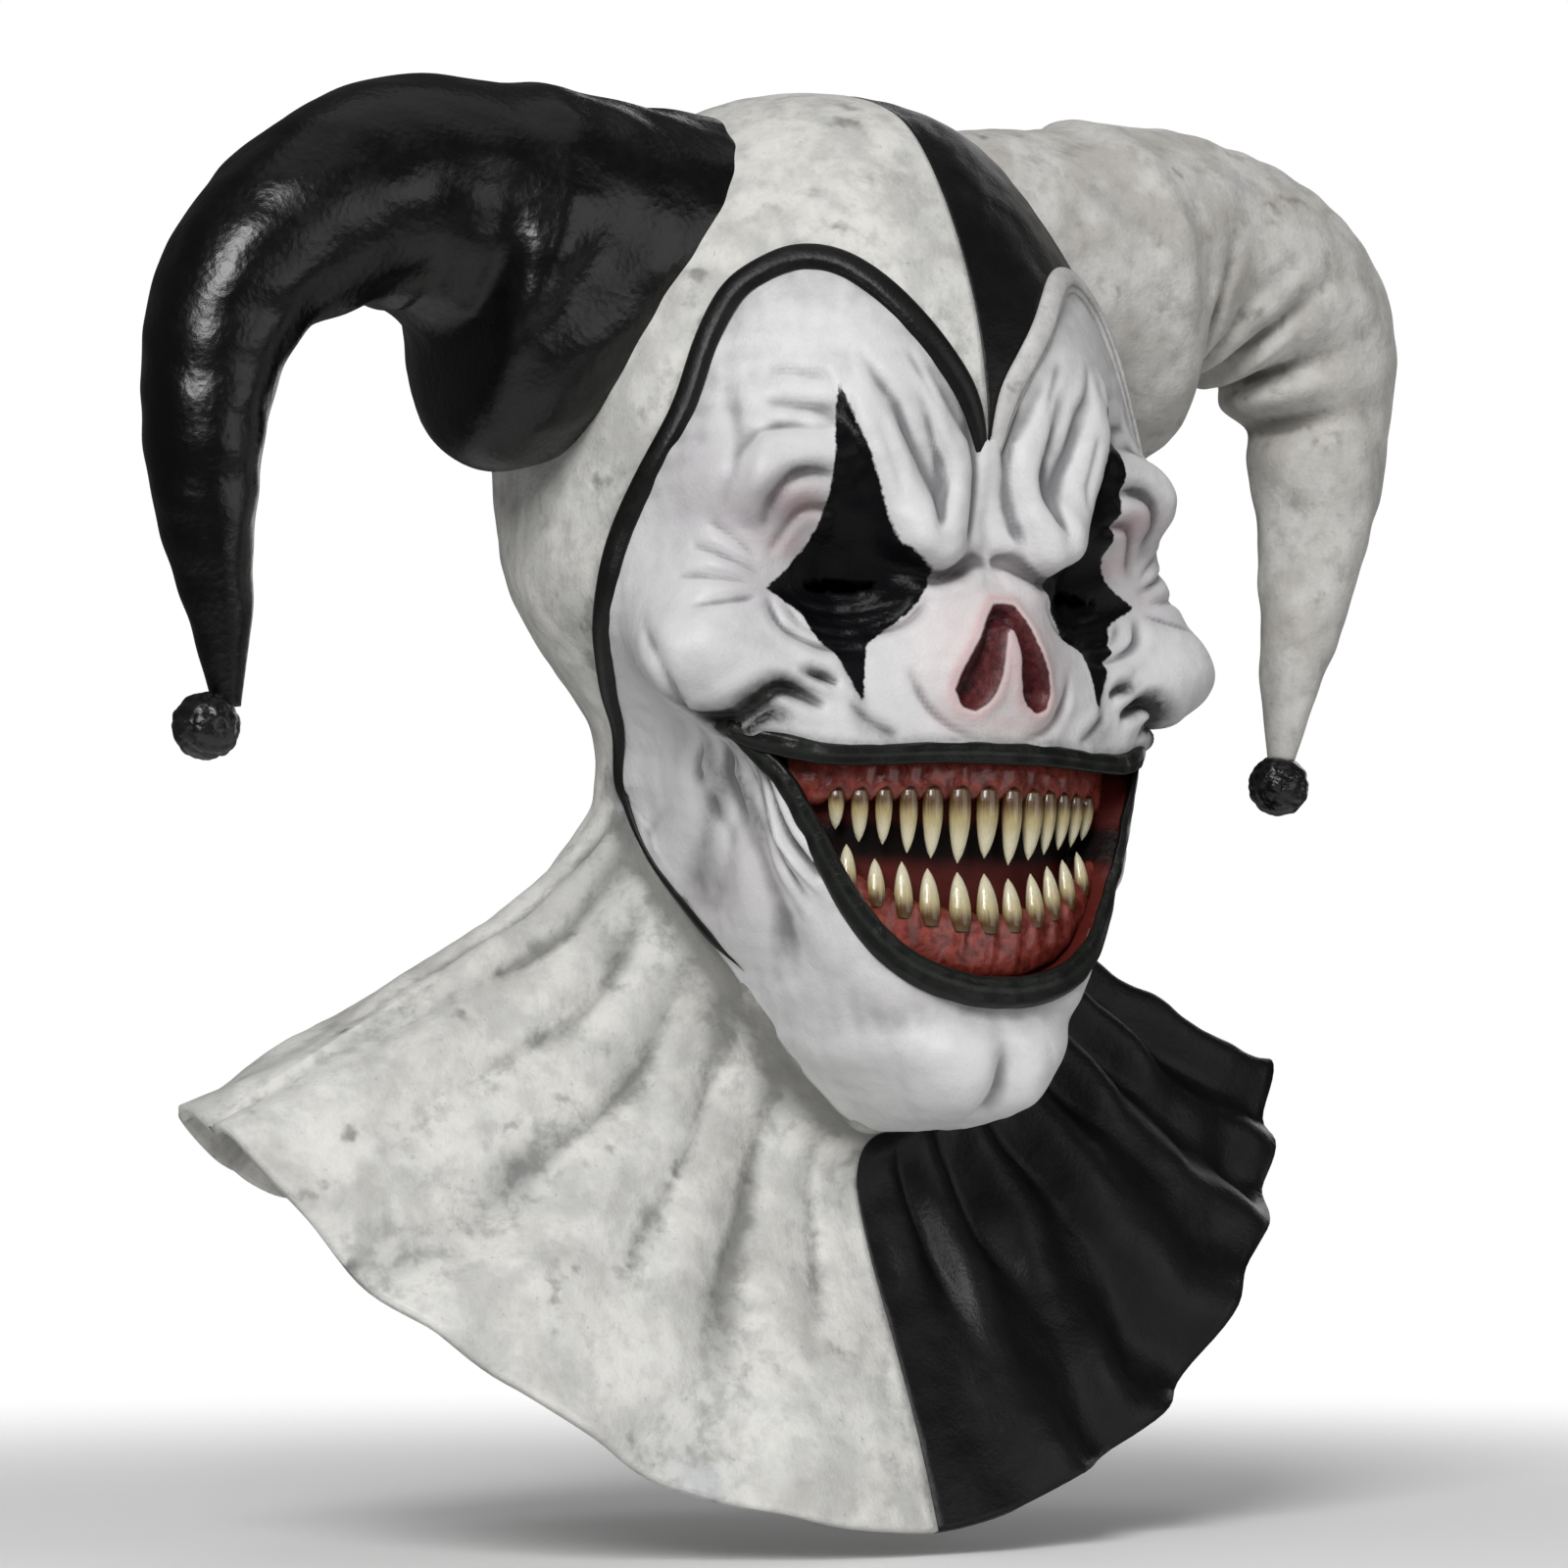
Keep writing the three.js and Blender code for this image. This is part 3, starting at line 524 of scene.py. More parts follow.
materials = {
    "face": faceMaterial(),
    "grimeAndShade": grimeAndShadeMaterial(
        "grimeAndShadeLatex", (0.70, 0.695, 0.665), (0.38, 0.38, 0.37), (0.10, 0.10, 0.095), 40, 0.58),
    "paleHorn": grimeAndShadeMaterial(
        "paleHornLatex", (0.60, 0.59, 0.565), (0.37, 0.35, 0.325), (0.11, 0.105, 0.10), 45, 0.6),
    "paleTrim": grimeAndShadeMaterial(
        "paleTrimLatex", (0.58, 0.575, 0.57), (0.36, 0.355, 0.35), (0.17, 0.17, 0.17), 80, 0.5),
    "blackHood": blackMaterial(
        "blackLatex", (0.0035, 0.0035, 0.0035), (0.011, 0.011, 0.0105), 0.38, 900, 0.0005),
    "blackHorn": blackMaterial(
        "blackHornLatex", (0.0016, 0.0016, 0.0017), (0.004, 0.004, 0.004), 0.24, 700, 0.0003, 420, 0.42),
    "blackTrim": blackMaterial(
        "blackTrimLatex", (0.0035, 0.004, 0.0035), (0.016, 0.0175, 0.0145), 0.36, 900, 0.0004),
    "lips": blackMaterial(
        "lipLatex", (0.0035, 0.0042, 0.0035), (0.022, 0.026, 0.020), 0.32, 700, 0.0005),
    "bell": blackMaterial(
        "bellGloss", (0.004, 0.004, 0.004), (0.02, 0.02, 0.02), 0.14, 600, 0.0008, 330, 0.5),
    "gum": gumMaterial(),
    "tooth": toothMaterial(),
}
print("materials:", len(materials))


# the mouth's edge

lipLook = {
    "half": [  # angle, drop, half width, from the middle of the upper lip to the middle of the lower one
        [0, 185.6, 2.9], [12, 185.6, 2.9], [24, 186.4, 2.7], [36, 186.4, 2.8], [45, 184.4, 3.1],
        [53, 182, 2.9], [59, 179.6, 2.4], [54.5, 185.6, 2.6], [48.4, 193, 2.8], [44.6, 204, 3.0],
        [41, 215.5, 3.2], [36.4, 226.6, 3.5], [29.6, 236.4, 3.8],
        [20, 243.6, 4.1], [9, 247.4, 4.2], [0, 248.2, 4.2],
    ],
    "rows": 420,
    "columns": 32,
}


def lipPath(count):
    # both halves of the mouth's edge as one smooth closed loop
    half = np.array(lipLook["half"])
    ring = np.concatenate([half, half[-2:0:-1] * [-1, 1, 1]])
    at = np.linspace(0, len(ring), count, endpoint=False)
    return between(np.concatenate([ring[-2:], ring, ring[:3]]), at + 2), at


# face

faceLook = {
    "rows": 216,
    "columns": 104,
    "parting": 14.5,  # the station where the forehead parts into two lobes
    "openings": 130,  # the drop below which the eye slits, the nose hollows and the mouth lie
    "pocket": 16.5,  # how far the mouth goes back, less at its corners, which go in sideways instead
    "cornerLess": 5,
    "cornerIn": 12,
    "noseDeep": 8,
    "noseRim": 0.8,
    # fat rolls between the brows and over the eyes: radius, height and the path from the thin end
    "rolls": [
        (7.4, 5.2, [(27.6, 84), (25.4, 94.8), (22.2, 107), (18.8, 118), (16.8, 126), (16.6, 130)]),
        (5.8, 4.4, [(15, 84), (10.8, 97), (7.4, 109), (7.4, 119), (10.4, 129.5), (11.6, 133.5)]),
        (6.8, 2.8, [(0, 96), (0, 110), (0, 127)]),
        (6.4, 3.6, [(51, 130), (47, 118), (43, 110), (37.8, 106.6), (30.6, 107)]),
        (3.8, 1.8, [(45, 127), (41.6, 121), (38.6, 117.6), (33, 116.6)]),
        (3.4, 1.5, [(43, 138), (40, 130), (36.6, 125.8), (32.4, 126)]),
    ],
    # wide, deep and the path: negative is a crease, positive a ridge
    "strokes": [
        (3.0, 1.4, [(32, 82), (28.6, 95), (27, 104)]),
        (1.4, -1.0, [(26, 80), (22.6, 88.7), (19.4, 95), (17.4, 104), (14.6, 113)]),
        (1.5, -1.4, [(11, 104), (10, 114), (12, 121), (13.6, 128)]),
        (1.7, -1.2, [(6, 90), (3.6, 102), (3.6, 114), (5, 124), (8, 133)]),
        (2.2, -2.8, [(22, 129), (19.4, 134.5), (15.5, 137), (11.6, 139), (7.6, 137), (3, 134), (0, 135)]),
        (1.2, -0.9, [(23.6, 99), (20.6, 110), (19, 119)]),
        (1.1, -0.7, [(14, 96), (11.6, 106), (11, 114)]),
        (1.0, -0.5, [(17, 80), (14, 88), (11.6, 95)]),
        (1.6, -1.6, [(44.4, 127), (42, 119), (38.8, 114), (35.2, 112.4), (30.5, 112.6)]),
        (1.4, -1.3, [(43, 134), (40, 127), (37.4, 122.4), (34.6, 121.4), (29.5, 122.6)]),
        (2.4, -1.2, [(50.6, 88), (49, 99), (48.4, 111), (50, 126)]),
        (2.0, -0.9, [(46, 99), (46, 109), (48, 118)]),
        (1.4, -0.9, [(44, 93.5), (38, 94.5), (31, 96.5)]),
        (1.4, -0.9, [(46, 102.5), (40, 101), (31.5, 102)]),
        (1.3, -0.7, [(43, 85), (37, 86), (31, 88.5)]),
        (1.2, -1.3, [(44.6, 139.5), (50.4, 136.3), (58, 132)]),
        (1.2, -1.1, [(45, 142), (51.4, 141.8), (61, 140.6)]),
        (1.2, -1.2, [(45, 145), (50.8, 147.6), (58, 149.5)]),
        (1.0, -0.8, [(45, 137), (49, 131), (54, 126)]),
        (1.4, -1.7, [(44, 144.3), (41.8, 152.3), (38, 155.8), (32.6, 158), (25, 158)]),
        (1.2, -1.2, [(40, 146), (37.4, 151.4), (33, 154.2), (26, 154)]),
        (1.2, -1.2, [(12.4, 144), (15.2, 149.7), (19, 152.5), (24, 154)]),
        (1.0, -1.2, [(16, 144), (22, 147), (30, 147.6), (38, 145.6)]),
        (1.0, -1.1, [(18, 151.6), (24, 154), (30, 154.2), (34, 152.6)]),
        (1.0, -1.2, [(17, 147.6), (23, 150.6), (30, 151), (36, 149)]),
        (2.0, -4.4, [(67, 170), (65.6, 175), (57.6, 175.6), (50.8, 172.6), (45.4, 169.6), (41.2, 169.9),
                     (34.4, 174)]),
        (1.7, -2.6, [(57, 179), (52, 175.6), (47, 174.4), (43, 177)]),
        (1.5, -2.2, [(39, 165), (34.2, 166), (31, 168.4)]),
        (1.4, -1.2, [(30, 172), (26, 177), (20, 182)]),
        (1.6, -1.4, [(69, 150), (64, 158), (63, 165), (66, 172)]),
        (1.6, -1.3, [(17.5, 163), (15, 172), (10, 179), (4, 182)]),
        (1.7, -2.0, [(74, 179), (79, 187), (76, 195), (70.6, 206), (65, 216.4), (59, 227.6), (53.6, 239)]),
        (2.0, -3.4, [(67.6, 181.9), (73, 191), (68.4, 201.5), (60.4, 213.9), (54.8, 223.9), (49.8, 234.3),
                     (43, 247)]),
        (1.8, -3.2, [(65.8, 188), (62.8, 202), (55, 213.8), (49, 226)]),
        (1.7, -3.0, [(55, 190), (52, 204), (49, 211.5), (44.6, 219)]),
        (3.0, -0.6, [(45.5, 235), (41.2, 245), (37.6, 250.3), (32, 255.6), (24, 258)]),
        (1.1, -1.4, [(71.5, 184), (75, 195), (67, 208), (61.9, 219), (55.9, 231), (50, 243)]),
        (1.1, -1.4, [(64, 184), (66.6, 197), (61, 209), (54.7, 219.6), (48.5, 231)]),
        (1.0, -1.1, [(58, 190), (56.6, 204), (51.6, 214), (47, 224)]),
        (1.6, -0.6, [(80, 196), (76, 208), (69.6, 220), (62, 232)]),
        (4.4, -1.6, [(0, 262), (0, 270), (0, 281)]),
        (5.0, 1.6, [(34, 262), (22, 264), (12, 262)]),
    ],
    "eyePaint": [  # the diamond over and under each eye
        (29.9, 89), (28.5, 95), (26.9, 101), (24.6, 109.5), (22.6, 118), (20.9, 125), (19.4, 130),
        (16, 133.5), (12.2, 137.7), (12.6, 141), (15.4, 148), (20, 153), (24.2, 157), (25.4, 163),
        (26.9, 173.5), (29, 166), (31, 159), (33.8, 156), (36.4, 148.5), (43.8, 142.8), (39, 136.7),
        (34.8, 130), (32.6, 122), (31.6, 113), (31, 101), (30.6, 95),
    ],
    "nostril": [  # one of the two hollows in x and z, which meet at the top
        (-3, -143.2), (3.4, -143.6), (6.6, -148), (10, -154.5), (13.8, -161), (15.4, -166.5), (13.6, -170.8),
        (10, -172), (6.6, -170), (4.6, -167.4), (3.4, -163), (2.5, -156), (1.2, -150.5), (-3, -149),
    ],
    "eyeSlit": [(27, -138.4), (34, -137.2), (42, -137.4), (49, -139.6), (42, -140.6), (33, -140.4)],
    # painted shade under the cheekbone, the brow rolls and the eyes and in the jaw's folds, with dark paint
    # at the mouth's corner: wide, strength and the path
    "sootAndShade": [
        (3.4, 1.6, [(66, 169), (64.6, 174.5), (59, 177), (54, 175)]),
        (2.8, 1.4, [(56, 176), (47, 170.6), (43, 169), (38.6, 171.4)]),
        (2.2, 1.2, [(55, 181), (47.8, 176), (44, 177.4)]),
        (1.8, 1.0, [(38.6, 165.2), (32.6, 166.6)]),
        (5.4, 1.9, [(64, 176), (58.6, 181), (53.4, 190)]),
        (1.6, 0.6, [(70, 178), (75, 186), (74, 193), (71, 203)]),
        (1.6, 0.7, [(64, 182), (69, 190), (67, 198), (61, 210)]),
        (1.5, 0.7, [(59, 186), (60, 200), (54, 212)]),
        (1.2, 0.6, [(54, 190), (51.6, 203), (48, 213)]),
        (3.2, 0.45, [(29, 172), (27, 178), (21, 183)]),
        (2.4, 0.7, [(16, 138), (11, 139.4), (6, 137)]),
        (2.0, 0.5, [(30, 160), (28, 168), (27, 175)]),
        (2.2, 0.6, [(44, 127), (41.6, 119), (38, 113.6), (31, 112.6)]),
        (1.8, 0.5, [(43, 134), (40, 127), (36, 122), (31, 122)]),
        (1.1, 0.35, [(79, 187), (76, 195), (70.6, 206), (65, 216.4), (59, 227.6)]),
    ],
    # soft patches of colour: angle, drop, wide, tall, strength
    "plum": [(48, 124, 9, 12, 0.6), (40, 122, 7, 6, 0.9), (46, 140, 7, 8, 0.55), (56, 118, 8, 18, 0.4),
             (8, 250, 20, 6, 0.35), (60, 220, 8, 24, 0.4)],
    "blush": [(0, 160, 13, 17, 0.42), (9, 172, 5, 8, 0.35), (37, 121, 5, 5, 0.3), (39, 131, 5, 4, 0.3),
              (0, 178, 12, 4, 0.3)],
}


def spots(angle, drop, rows):
    # strongest of the bell-shaped patches, on both sides of the face
    turn = np.abs(angle)
    strength = np.zeros(angle.shape)
    for at, low, wide, tall, full in rows:
        strength = np.maximum(strength, full * bump(turn - at, wide) * bump(drop - low, tall))
    return strength


def faceGrid():
    # rows evenly spaced up the cheek, columns from the inner to the outer edge of each half
    tall = np.linspace(faceEdge[0, 0], faceEdge[-1, 0], 900)
    station = evenly(plainSkin(25.0, tall), tall, faceLook["rows"])
    parting = faceLook["parting"]
    station = np.unique(np.append(station[np.abs(station - parting) > 0.02], parting))
    fine = np.linspace(0, 85, 400)
    share = evenly(plainSkin(fine, 11.0), fine, faceLook["columns"]) / fine[-1]
    inner, outer = (np.interp(station, faceEdge[:, 0], faceEdge[:, k])[:, None] for k in (1, 2))
    left = inner + (outer - inner) * share
    angle = np.concatenate([-left[:, ::-1], left], 1)
    return angle, station[:, None] - edgeDip(np.abs(angle), station[:, None]), inner[:, 0] <= 0


def faceDetail(turn, drop):
    # rolls are half rounds that grow from their thin end, strokes bell curves, creases with low shoulders
    rolls = np.zeros(turn.shape)
    for wide, high, path in faceLook["rolls"]:
        near, along = strokeAt(turn, drop, path)
        grown = 0.35 + 0.65 * smooth(along / 0.6)
        half = np.sqrt(np.clip(1 - (near / (wide * grown)) ** 2, 0, 1))
        rolls = np.maximum(rolls, high * grown * smooth(along / 0.25 + 0.1) * half)
    detail = blurred(rolls, 3)
    for wide, deep, path in faceLook["strokes"]:
        near, along = strokeAt(turn, drop, path)
        ends = 1 - np.abs(2 * along - 1) ** 4
        if deep < 0:
            detail += ends * deep * (bump(near, wide) - 0.35 * bump(near - 2.3 * wide, 1.3 * wide))
        else:
            detail += (0.25 + 0.75 * ends) * deep * bump(near, wide)
    return detail


def faceSkin():
    # the mouth's pocket and the nose hollows are pushed back and the eye slits are cut out
    angle, station, joined = faceGrid()
    turn = np.abs(angle)
    plain = plainSkin(angle, station)
    drop = wall - plain[..., 2]
    depth = edgeDepth(angle, station)
    main = mainRelief(angle, station, drop)
    detail = faceDetail(turn, drop) * smooth(depth / 5)
    detail += 0.35 * lumps(plain, 22, 3) + 0.16 * lumps(plain, 8, 4)
    points = plain + outwardOf(angle, station) * (main + detail)[..., None]
    lip = outlineAt(angle * degreeMm, drop, lipPath(120)[0][:, :2] * [degreeMm, 1])
    hole = snapped(points, faceLook["nostril"], 0.55)
    slit = snapped(points, faceLook["eyeSlit"], 0.55)
    front = drop > faceLook["openings"]
    maw = smooth((-lip - 0.8) / 2.2) * front
    corner = smooth((turn - 25) / 30)
    rim = bump(hole - 1.6, 1.6) * front
    points[..., 0] -= np.sign(angle) * faceLook["cornerIn"] * corner * maw
    points[..., 1] += (faceLook["pocket"] - faceLook["cornerLess"] * corner) * maw
    points[..., 1] += faceLook["noseDeep"] * smooth(-hole / 4.6) * front - faceLook["noseRim"] * rim

    # painted shade: grey in the hollows and towards the trim, darker over the upper lip, a painted shadow
    # under the lower lip, and darker along the painted-shade paths
    shade = np.clip((blurred(detail, 40) - detail) / 1.25 + (blurred(main, 160) - main) / 14, -1, 1.6)
    shade += 0.5 * smooth(1 - depth / 24) * smooth((station - 12.6) / 1.6)
    sootAndShade = 0.45 * bump(lip - 3.0, 1.6) * smooth((194 - drop) / 8) * front
    sootAndShade = np.maximum(sootAndShade, 0.4 * bump(lip - 3.6, 2.4) * smooth((drop - 228) / 14) * front)
    for wide, full, path in faceLook["sootAndShade"]:
        near, along = strokeAt(turn, drop, path)
        sootAndShade = np.maximum(sootAndShade, full * bump(near, wide) * (1 - 0.6 * np.abs(2 * along - 1) ** 3))
    values = {
        "shade": shade,
        "eyePaint": outlineAt(turn * degreeMm, drop, np.array(faceLook["eyePaint"]) * [degreeMm, 1]),
        "sootAndShade": sootAndShade,
        "plum": spots(angle, drop, faceLook["plum"]),
        "blush": np.maximum(spots(angle, drop, faceLook["blush"]), 0.6 * rim),
        "nostril": np.where(front, np.clip(hole, -6, 6), 6.0),
        "maw": np.where(front, np.clip(lip, -6, 6), 6.0),
        "throat": np.maximum(smooth((drop - 211) / 5), smooth((205 - drop) / 4)) * smooth((54 - turn) / 8),
    }
    right, left = np.split(np.arange(angle.size).reshape(angle.shape), 2, axis=1)
    left[joined, 0] = right[joined, -1]
    faces = np.concatenate([gridFaces(right), gridFaces(left)])
    faces = faces[~((slit <= 0) & front).ravel()[faces].all(1)]
    makePiece("faceSkin", points, [faces], materials["face"], ["face"], values, wall)


faceSkin()
print("face done")


# hood halves with neck and collar

hoodLook = {
    "rows": 250,
    "columns": 150,
    "sink": 0.9,  # under the face
    "lap": 2.2,  # how far the hood goes in under the face's edge
    # each side's folds around the collar: deep, count, and how deep its gathers under the neck are
    "folds": {-1: (1.5, 23, 1.9), 1: (3.4, 25, 2.6)},
}


def hoodGrid(side):
    # columns half way round, rows evenly spaced up the side, and the left hem drawn up in scallops
    tall = np.linspace(0, 19.9, 1500)
    station = evenly(plainSkin(55.0, tall), tall, hoodLook["rows"])[:, None]
    fine = np.linspace(0, 180, 800)
    turn = evenly(plainSkin(fine, 11.0) + plainSkin(fine, 2.0) * 0.5, fine, hoodLook["columns"])
    turn, station = np.broadcast_arrays(turn, station)
    if side < 0:
        return -turn[:, ::-1], station[:, ::-1]
    meet = np.minimum(1, np.minimum(turn, 180 - turn) / 25)
    lift = skin["leftLift"] + 0.1 * np.sin(np.radians(turn * skin["leftFolds"][0]))
    return turn, np.where(station < 2, station + meet * lift * (1 - station / 2), station)


def hoodHalf(name, side, material, node):
    # folds are sine waves, gathers are sharp pleats, and the face's place is left open under its edge
    angle, station = hoodGrid(side)
    turn = np.abs(angle)
    seam = np.minimum(turn, 180 - turn)
    plain = plainSkin(angle, station)
    deep, count, tight = hoodLook["folds"][side]
    meet = smooth(seam / 16)
    spread = deep * meet * np.maximum(0, 1 - station / skin["collarTop"])
    wander = turn * 27 + 40 * np.sin(station * 1.1 + side) + 55 * lumps(plain * [1, 1, 0.3], 60, 25 + side)
    pleat = 1 - 2 * np.abs(np.sin(np.radians(wander) / 2)) ** 0.8
    detail = spread * np.sin(np.radians(turn * count) + 2.2 * np.sin(station * 1.3))
    detail += spread * 0.8 * lumps(plain * [1, 1, 0.45], 26, 21 + side)
    detail -= tight * meet * bump(station - 2.7, 1.3) * pleat
    detail += 1.1 * bump(station - 4.3, 1.5) * lumps(plain * [1, 1, 0.5], 20, 31)
    detail += 0.4 * lumps(plain, 30, 5) + 0.2 * lumps(plain, 11, 6)
    detail *= smooth(seam / 5)
    relief = mainRelief(angle, station, wall - plain[..., 2]) + detail
    depth = edgeDepth(angle, station)
    sink = hoodLook["sink"] * (smooth(depth / 1.6) + 0.6 * np.maximum(0, depth - 1.6))
    points = plain + outwardOf(angle, station) * (relief - sink)[..., None]

    # painted shade: dark in the hollows and along the black trim, and a painted shadow under the jaw
    shade = np.clip((blurred(relief, 60) - relief) / 2.2, -1, 1.5) * (0.3 + 0.7 * smooth(station / 2.6))
    shade += 0.5 * bump(depth + 2.5, 3.0) * (side < 0)
    shade += 0.9 * smooth(1 + depth / 26) * smooth((7.4 - station) / 1.4) * (depth < 4)
    index = np.arange(angle.size).reshape(angle.shape)
    crown = np.stack([index[-1, :-1], index[-1, 1:], np.full(hoodLook["columns"] - 1, angle.size)], 1)
    faces = gridFaces(index)
    faces = faces[~(depth.ravel()[faces] > hoodLook["lap"]).all(1)]
    points = np.concatenate([points.reshape(-1, 3), [[0, 5, wall]]])
    makePiece(name, points, [faces, crown], material, [node], {"shade": np.append(shade, 0)}, wall)


hoodHalf("rightHood", -1, materials["grimeAndShade"], "right_hood")
hoodHalf("leftHood", 1, materials["blackHood"], "left_hood")
print("hood done")


# horns

hornLook = {
    "rows": 230,
    "columns": 150,
    "easing": 90,
    "right": [  # distance from the middle, y, z, radius, crease below
        [14, 5, -52, 36, 0], [40, 3, -47.5, 39, 0], [66, 2, -45.5, 38.4, -12],
        [84, 3, -44.5, 39.6, -22], [97, 4, -43.5, 40.6, -25], [105, 5, -41.8, 38.8, -18],
        [112, 5, -39.8, 36.2, 0], [125, 5, -38, 33.4, 3], [137, 5, -37.6, 30.6, 0],
        [150, 4, -42.5, 28, 2], [164, 3, -50, 25.4, 0], [177.4, 2, -62, 22, 1],
        [186.4, 2, -79, 19.2, 0], [190.4, 1, -104, 15.8, 0], [189.6, 0, -130, 12, 0],
        [186, 0, -153, 8, 0], [183.8, 0, -175, 3.6, 0],
    ],
    "left": [
        [14, 5, -50, 36, 0], [40, 3, -45, 39, 0], [66, 2, -42, 39.2, -9], [84, 3, -41.5, 41, -13],
        [97, 4, -40, 43.5, -14], [105, 5, -37.8, 41.6, -12], [112, 5, -35.5, 39.4, 0],
        [122, 5, -34, 37.4, 3], [134, 5, -34.2, 35, 0], [148, 4, -37.3, 34.2, 4], [161, 4, -43, 33, 0],
        [171, 3, -52, 30.6, 4], [177, 2, -66, 26, 0], [179.3, 2, -82, 21.6, 1],
        [178.3, 1, -103, 18.6, 0], [174.5, 0, -128, 13.6, 0], [168, 0, -155, 9, 0],
        [164.4, 0, -179, 3.8, 0],
    ],
    "crook": {-1: 5.7, 1: 7.5},  # the row at the bend, where the rings crowd below
    # pinched folds: row, drift on the way round, wide in rows, deep, centre and reach in degrees
    "rightFolds": [(5.7, 0.4, 0.42, 2.6, 15, 50), (4.4, -0.7, 0.55, 2.4, 35, 42),
                   (7.6, 0.4, 0.6, 0.9, 0, 45)],
    "leftFolds": [(6.0, 0.5, 0.28, 4.2, 10, 50), (7.4, 0.7, 0.26, 2.2, 10, 42), (8.9, 0.5, 0.3, 4.6, 5, 56),
                  (11.3, 0.1, 0.36, 4.6, 0, 60), (12.9, -0.1, 0.28, 4.4, 0, 62), (14.3, 0, 0.45, 1.6, 0, 50)],
}


def horn(name, side, rows, folds, material, node):
    # a round tube on a curved path, with its underside bulged or creased and pinched into folds
    fine = np.linspace(0, 1, 1200) * (len(rows) - 1)
    at = evenly(between(rows, fine)[:, :3], fine, hornLook["rows"])
    row = between(rows, at)
    path = row[:, :3] * [side, 1, 1] + [0, 0, wall]
    tangent = unit(np.gradient(path, axis=0))
    for _ in range(hornLook["easing"]):  # the rings turn slowly, so that none crosses the next
        wide = np.pad(tangent, ((1, 1), (0, 0)), mode="edge")
        tangent = unit(wide[:-2] + wide[1:-1] + wide[2:])
    ahead = np.array([0.0, -1, 0])
    up = unit(ahead - (tangent @ ahead)[:, None] * tangent)
    across = np.cross(tangent, up)
    turn = roundSteps(hornLook["columns"])
    spokes = up[:, None] * np.cos(turn)[:, None] + across[:, None] * np.sin(turn)[:, None]
    below = np.sin(turn) * side
    r = row[:, 3:4] - row[:, 4:5] * np.maximum(0, below) ** 3
    fromBelow = np.degrees(np.arccos(np.clip(below, -1, 1)))
    detail = np.zeros(r.shape)
    for start, drift, wide, deep, centre, reach in folds:
        line = at[:, None] - start - drift * (fromBelow / 60) ** 2
        near = bump(line, wide) - 0.4 * bump(np.abs(line) - 2.2 * wide, 1.2 * wide)
        past = np.maximum(0, np.abs(fromBelow - centre * (np.cos(turn) > 0)) - 8)
        detail -= deep * near * bump(past, reach)
    # folds are faint under the crook and shallower behind
    detail *= 1 - 0.92 * bump(at - hornLook["crook"][side], 2.6)[:, None] * bump(fromBelow, 30)
    detail *= 0.5 + 0.5 * smooth(np.cos(turn) / 0.7 + 0.6)
    flat = path[:, None] + spokes * r[..., None]
    detail += np.minimum(1, r / 12) * (0.6 * lumps(flat, 34, 41 + side) + 0.4 * lumps(flat, 13, 44 + side))
    points = path[:, None] + spokes * (r + detail)[..., None]
    # on the pale horn the shade value darkens the folds as painted shade
    shade = np.clip((blurred(detail, 24) - detail) / 1.3, -1, 1.5)
    makeTube(name, points, {"shade": shade}, material, node, path[[0, -1]])


horn("rightHorn", -1, hornLook["right"], hornLook["rightFolds"], materials["blackHorn"],
     "right_horn")
horn("leftHorn", 1, hornLook["left"], hornLook["leftFolds"], materials["paleHorn"], "left_horn")
print("horns done")


# bells

bellLook = {
    "radius": 8.7,
    "crinkle": 2.2,
    "rows": 64,
    "columns": 96,
    "waves": 11,
    "right": (-190, 0, -180 + wall),
    "left": (163.5, 0, -186 + wall),
}


def bell(name, centre, seed, node):
    # a ball crinkled like foil: the mean of folded sine waves in seeded directions
    turn = roundSteps(bellLook["columns"])
    tilt = np.linspace(0.03, np.pi - 0.03, bellLook["rows"])[:, None]
    ball = np.stack([np.sin(tilt) * np.cos(turn), np.sin(tilt) * np.sin(turn), -np.cos(tilt) + 0 * turn], -1)
    rng = np.random.default_rng(seed)
    waves = bellLook["waves"]
    ways = unit(rng.normal(size=(waves, 3))) * rng.uniform(5, 10, (waves, 1))
    crinkle = np.abs(np.sin(ball @ ways.T + rng.uniform(0, 6, waves))).mean(-1) - 0.64
    points = ball * (bellLook["radius"] + bellLook["crinkle"] * crinkle)[..., None] + centre
    poles = np.array(centre) + np.array([[0, 0, -1], [0, 0, 1]]) * bellLook["radius"]
    makeTube(name, points, {"shade": -3 * crinkle}, materials["bell"], node, poles)


bell("rightBell", bellLook["right"], 7, "right_bell")
bell("leftBell", bellLook["left"], 8, "left_bell")
print("bells done")


# beads: a closed profile carried along a path on the skin

def beadAlong(angle, station, half, profile, seat, loop=False, easing=0):
    # profile points are height over and breadth along the skin in half widths, easing passes take out kinks
    path = skinAt(angle, station, seat)
    for _ in range(easing):
        wide = np.pad(path, ((1, 1), (0, 0)), mode="edge")
        path[1:-1] = (wide[:-2] + wide[1:-1] + wide[2:])[1:-1] / 3
    if loop:
        tangent = unit(np.roll(path, -1, 0) - np.roll(path, 1, 0))
    else:
        tangent = unit(np.gradient(path, axis=0))
    up = outwardOf(angle, station)
    up = unit(up - np.sum(up * tangent, 1)[:, None] * tangent)
    across = np.cross(tangent, up)
    high, wide = profile[..., 0], profile[..., 1]
    offset = up[:, None] * high[..., None] + across[:, None] * wide[..., None]
    return path[:, None] + offset * half[:, None, None]


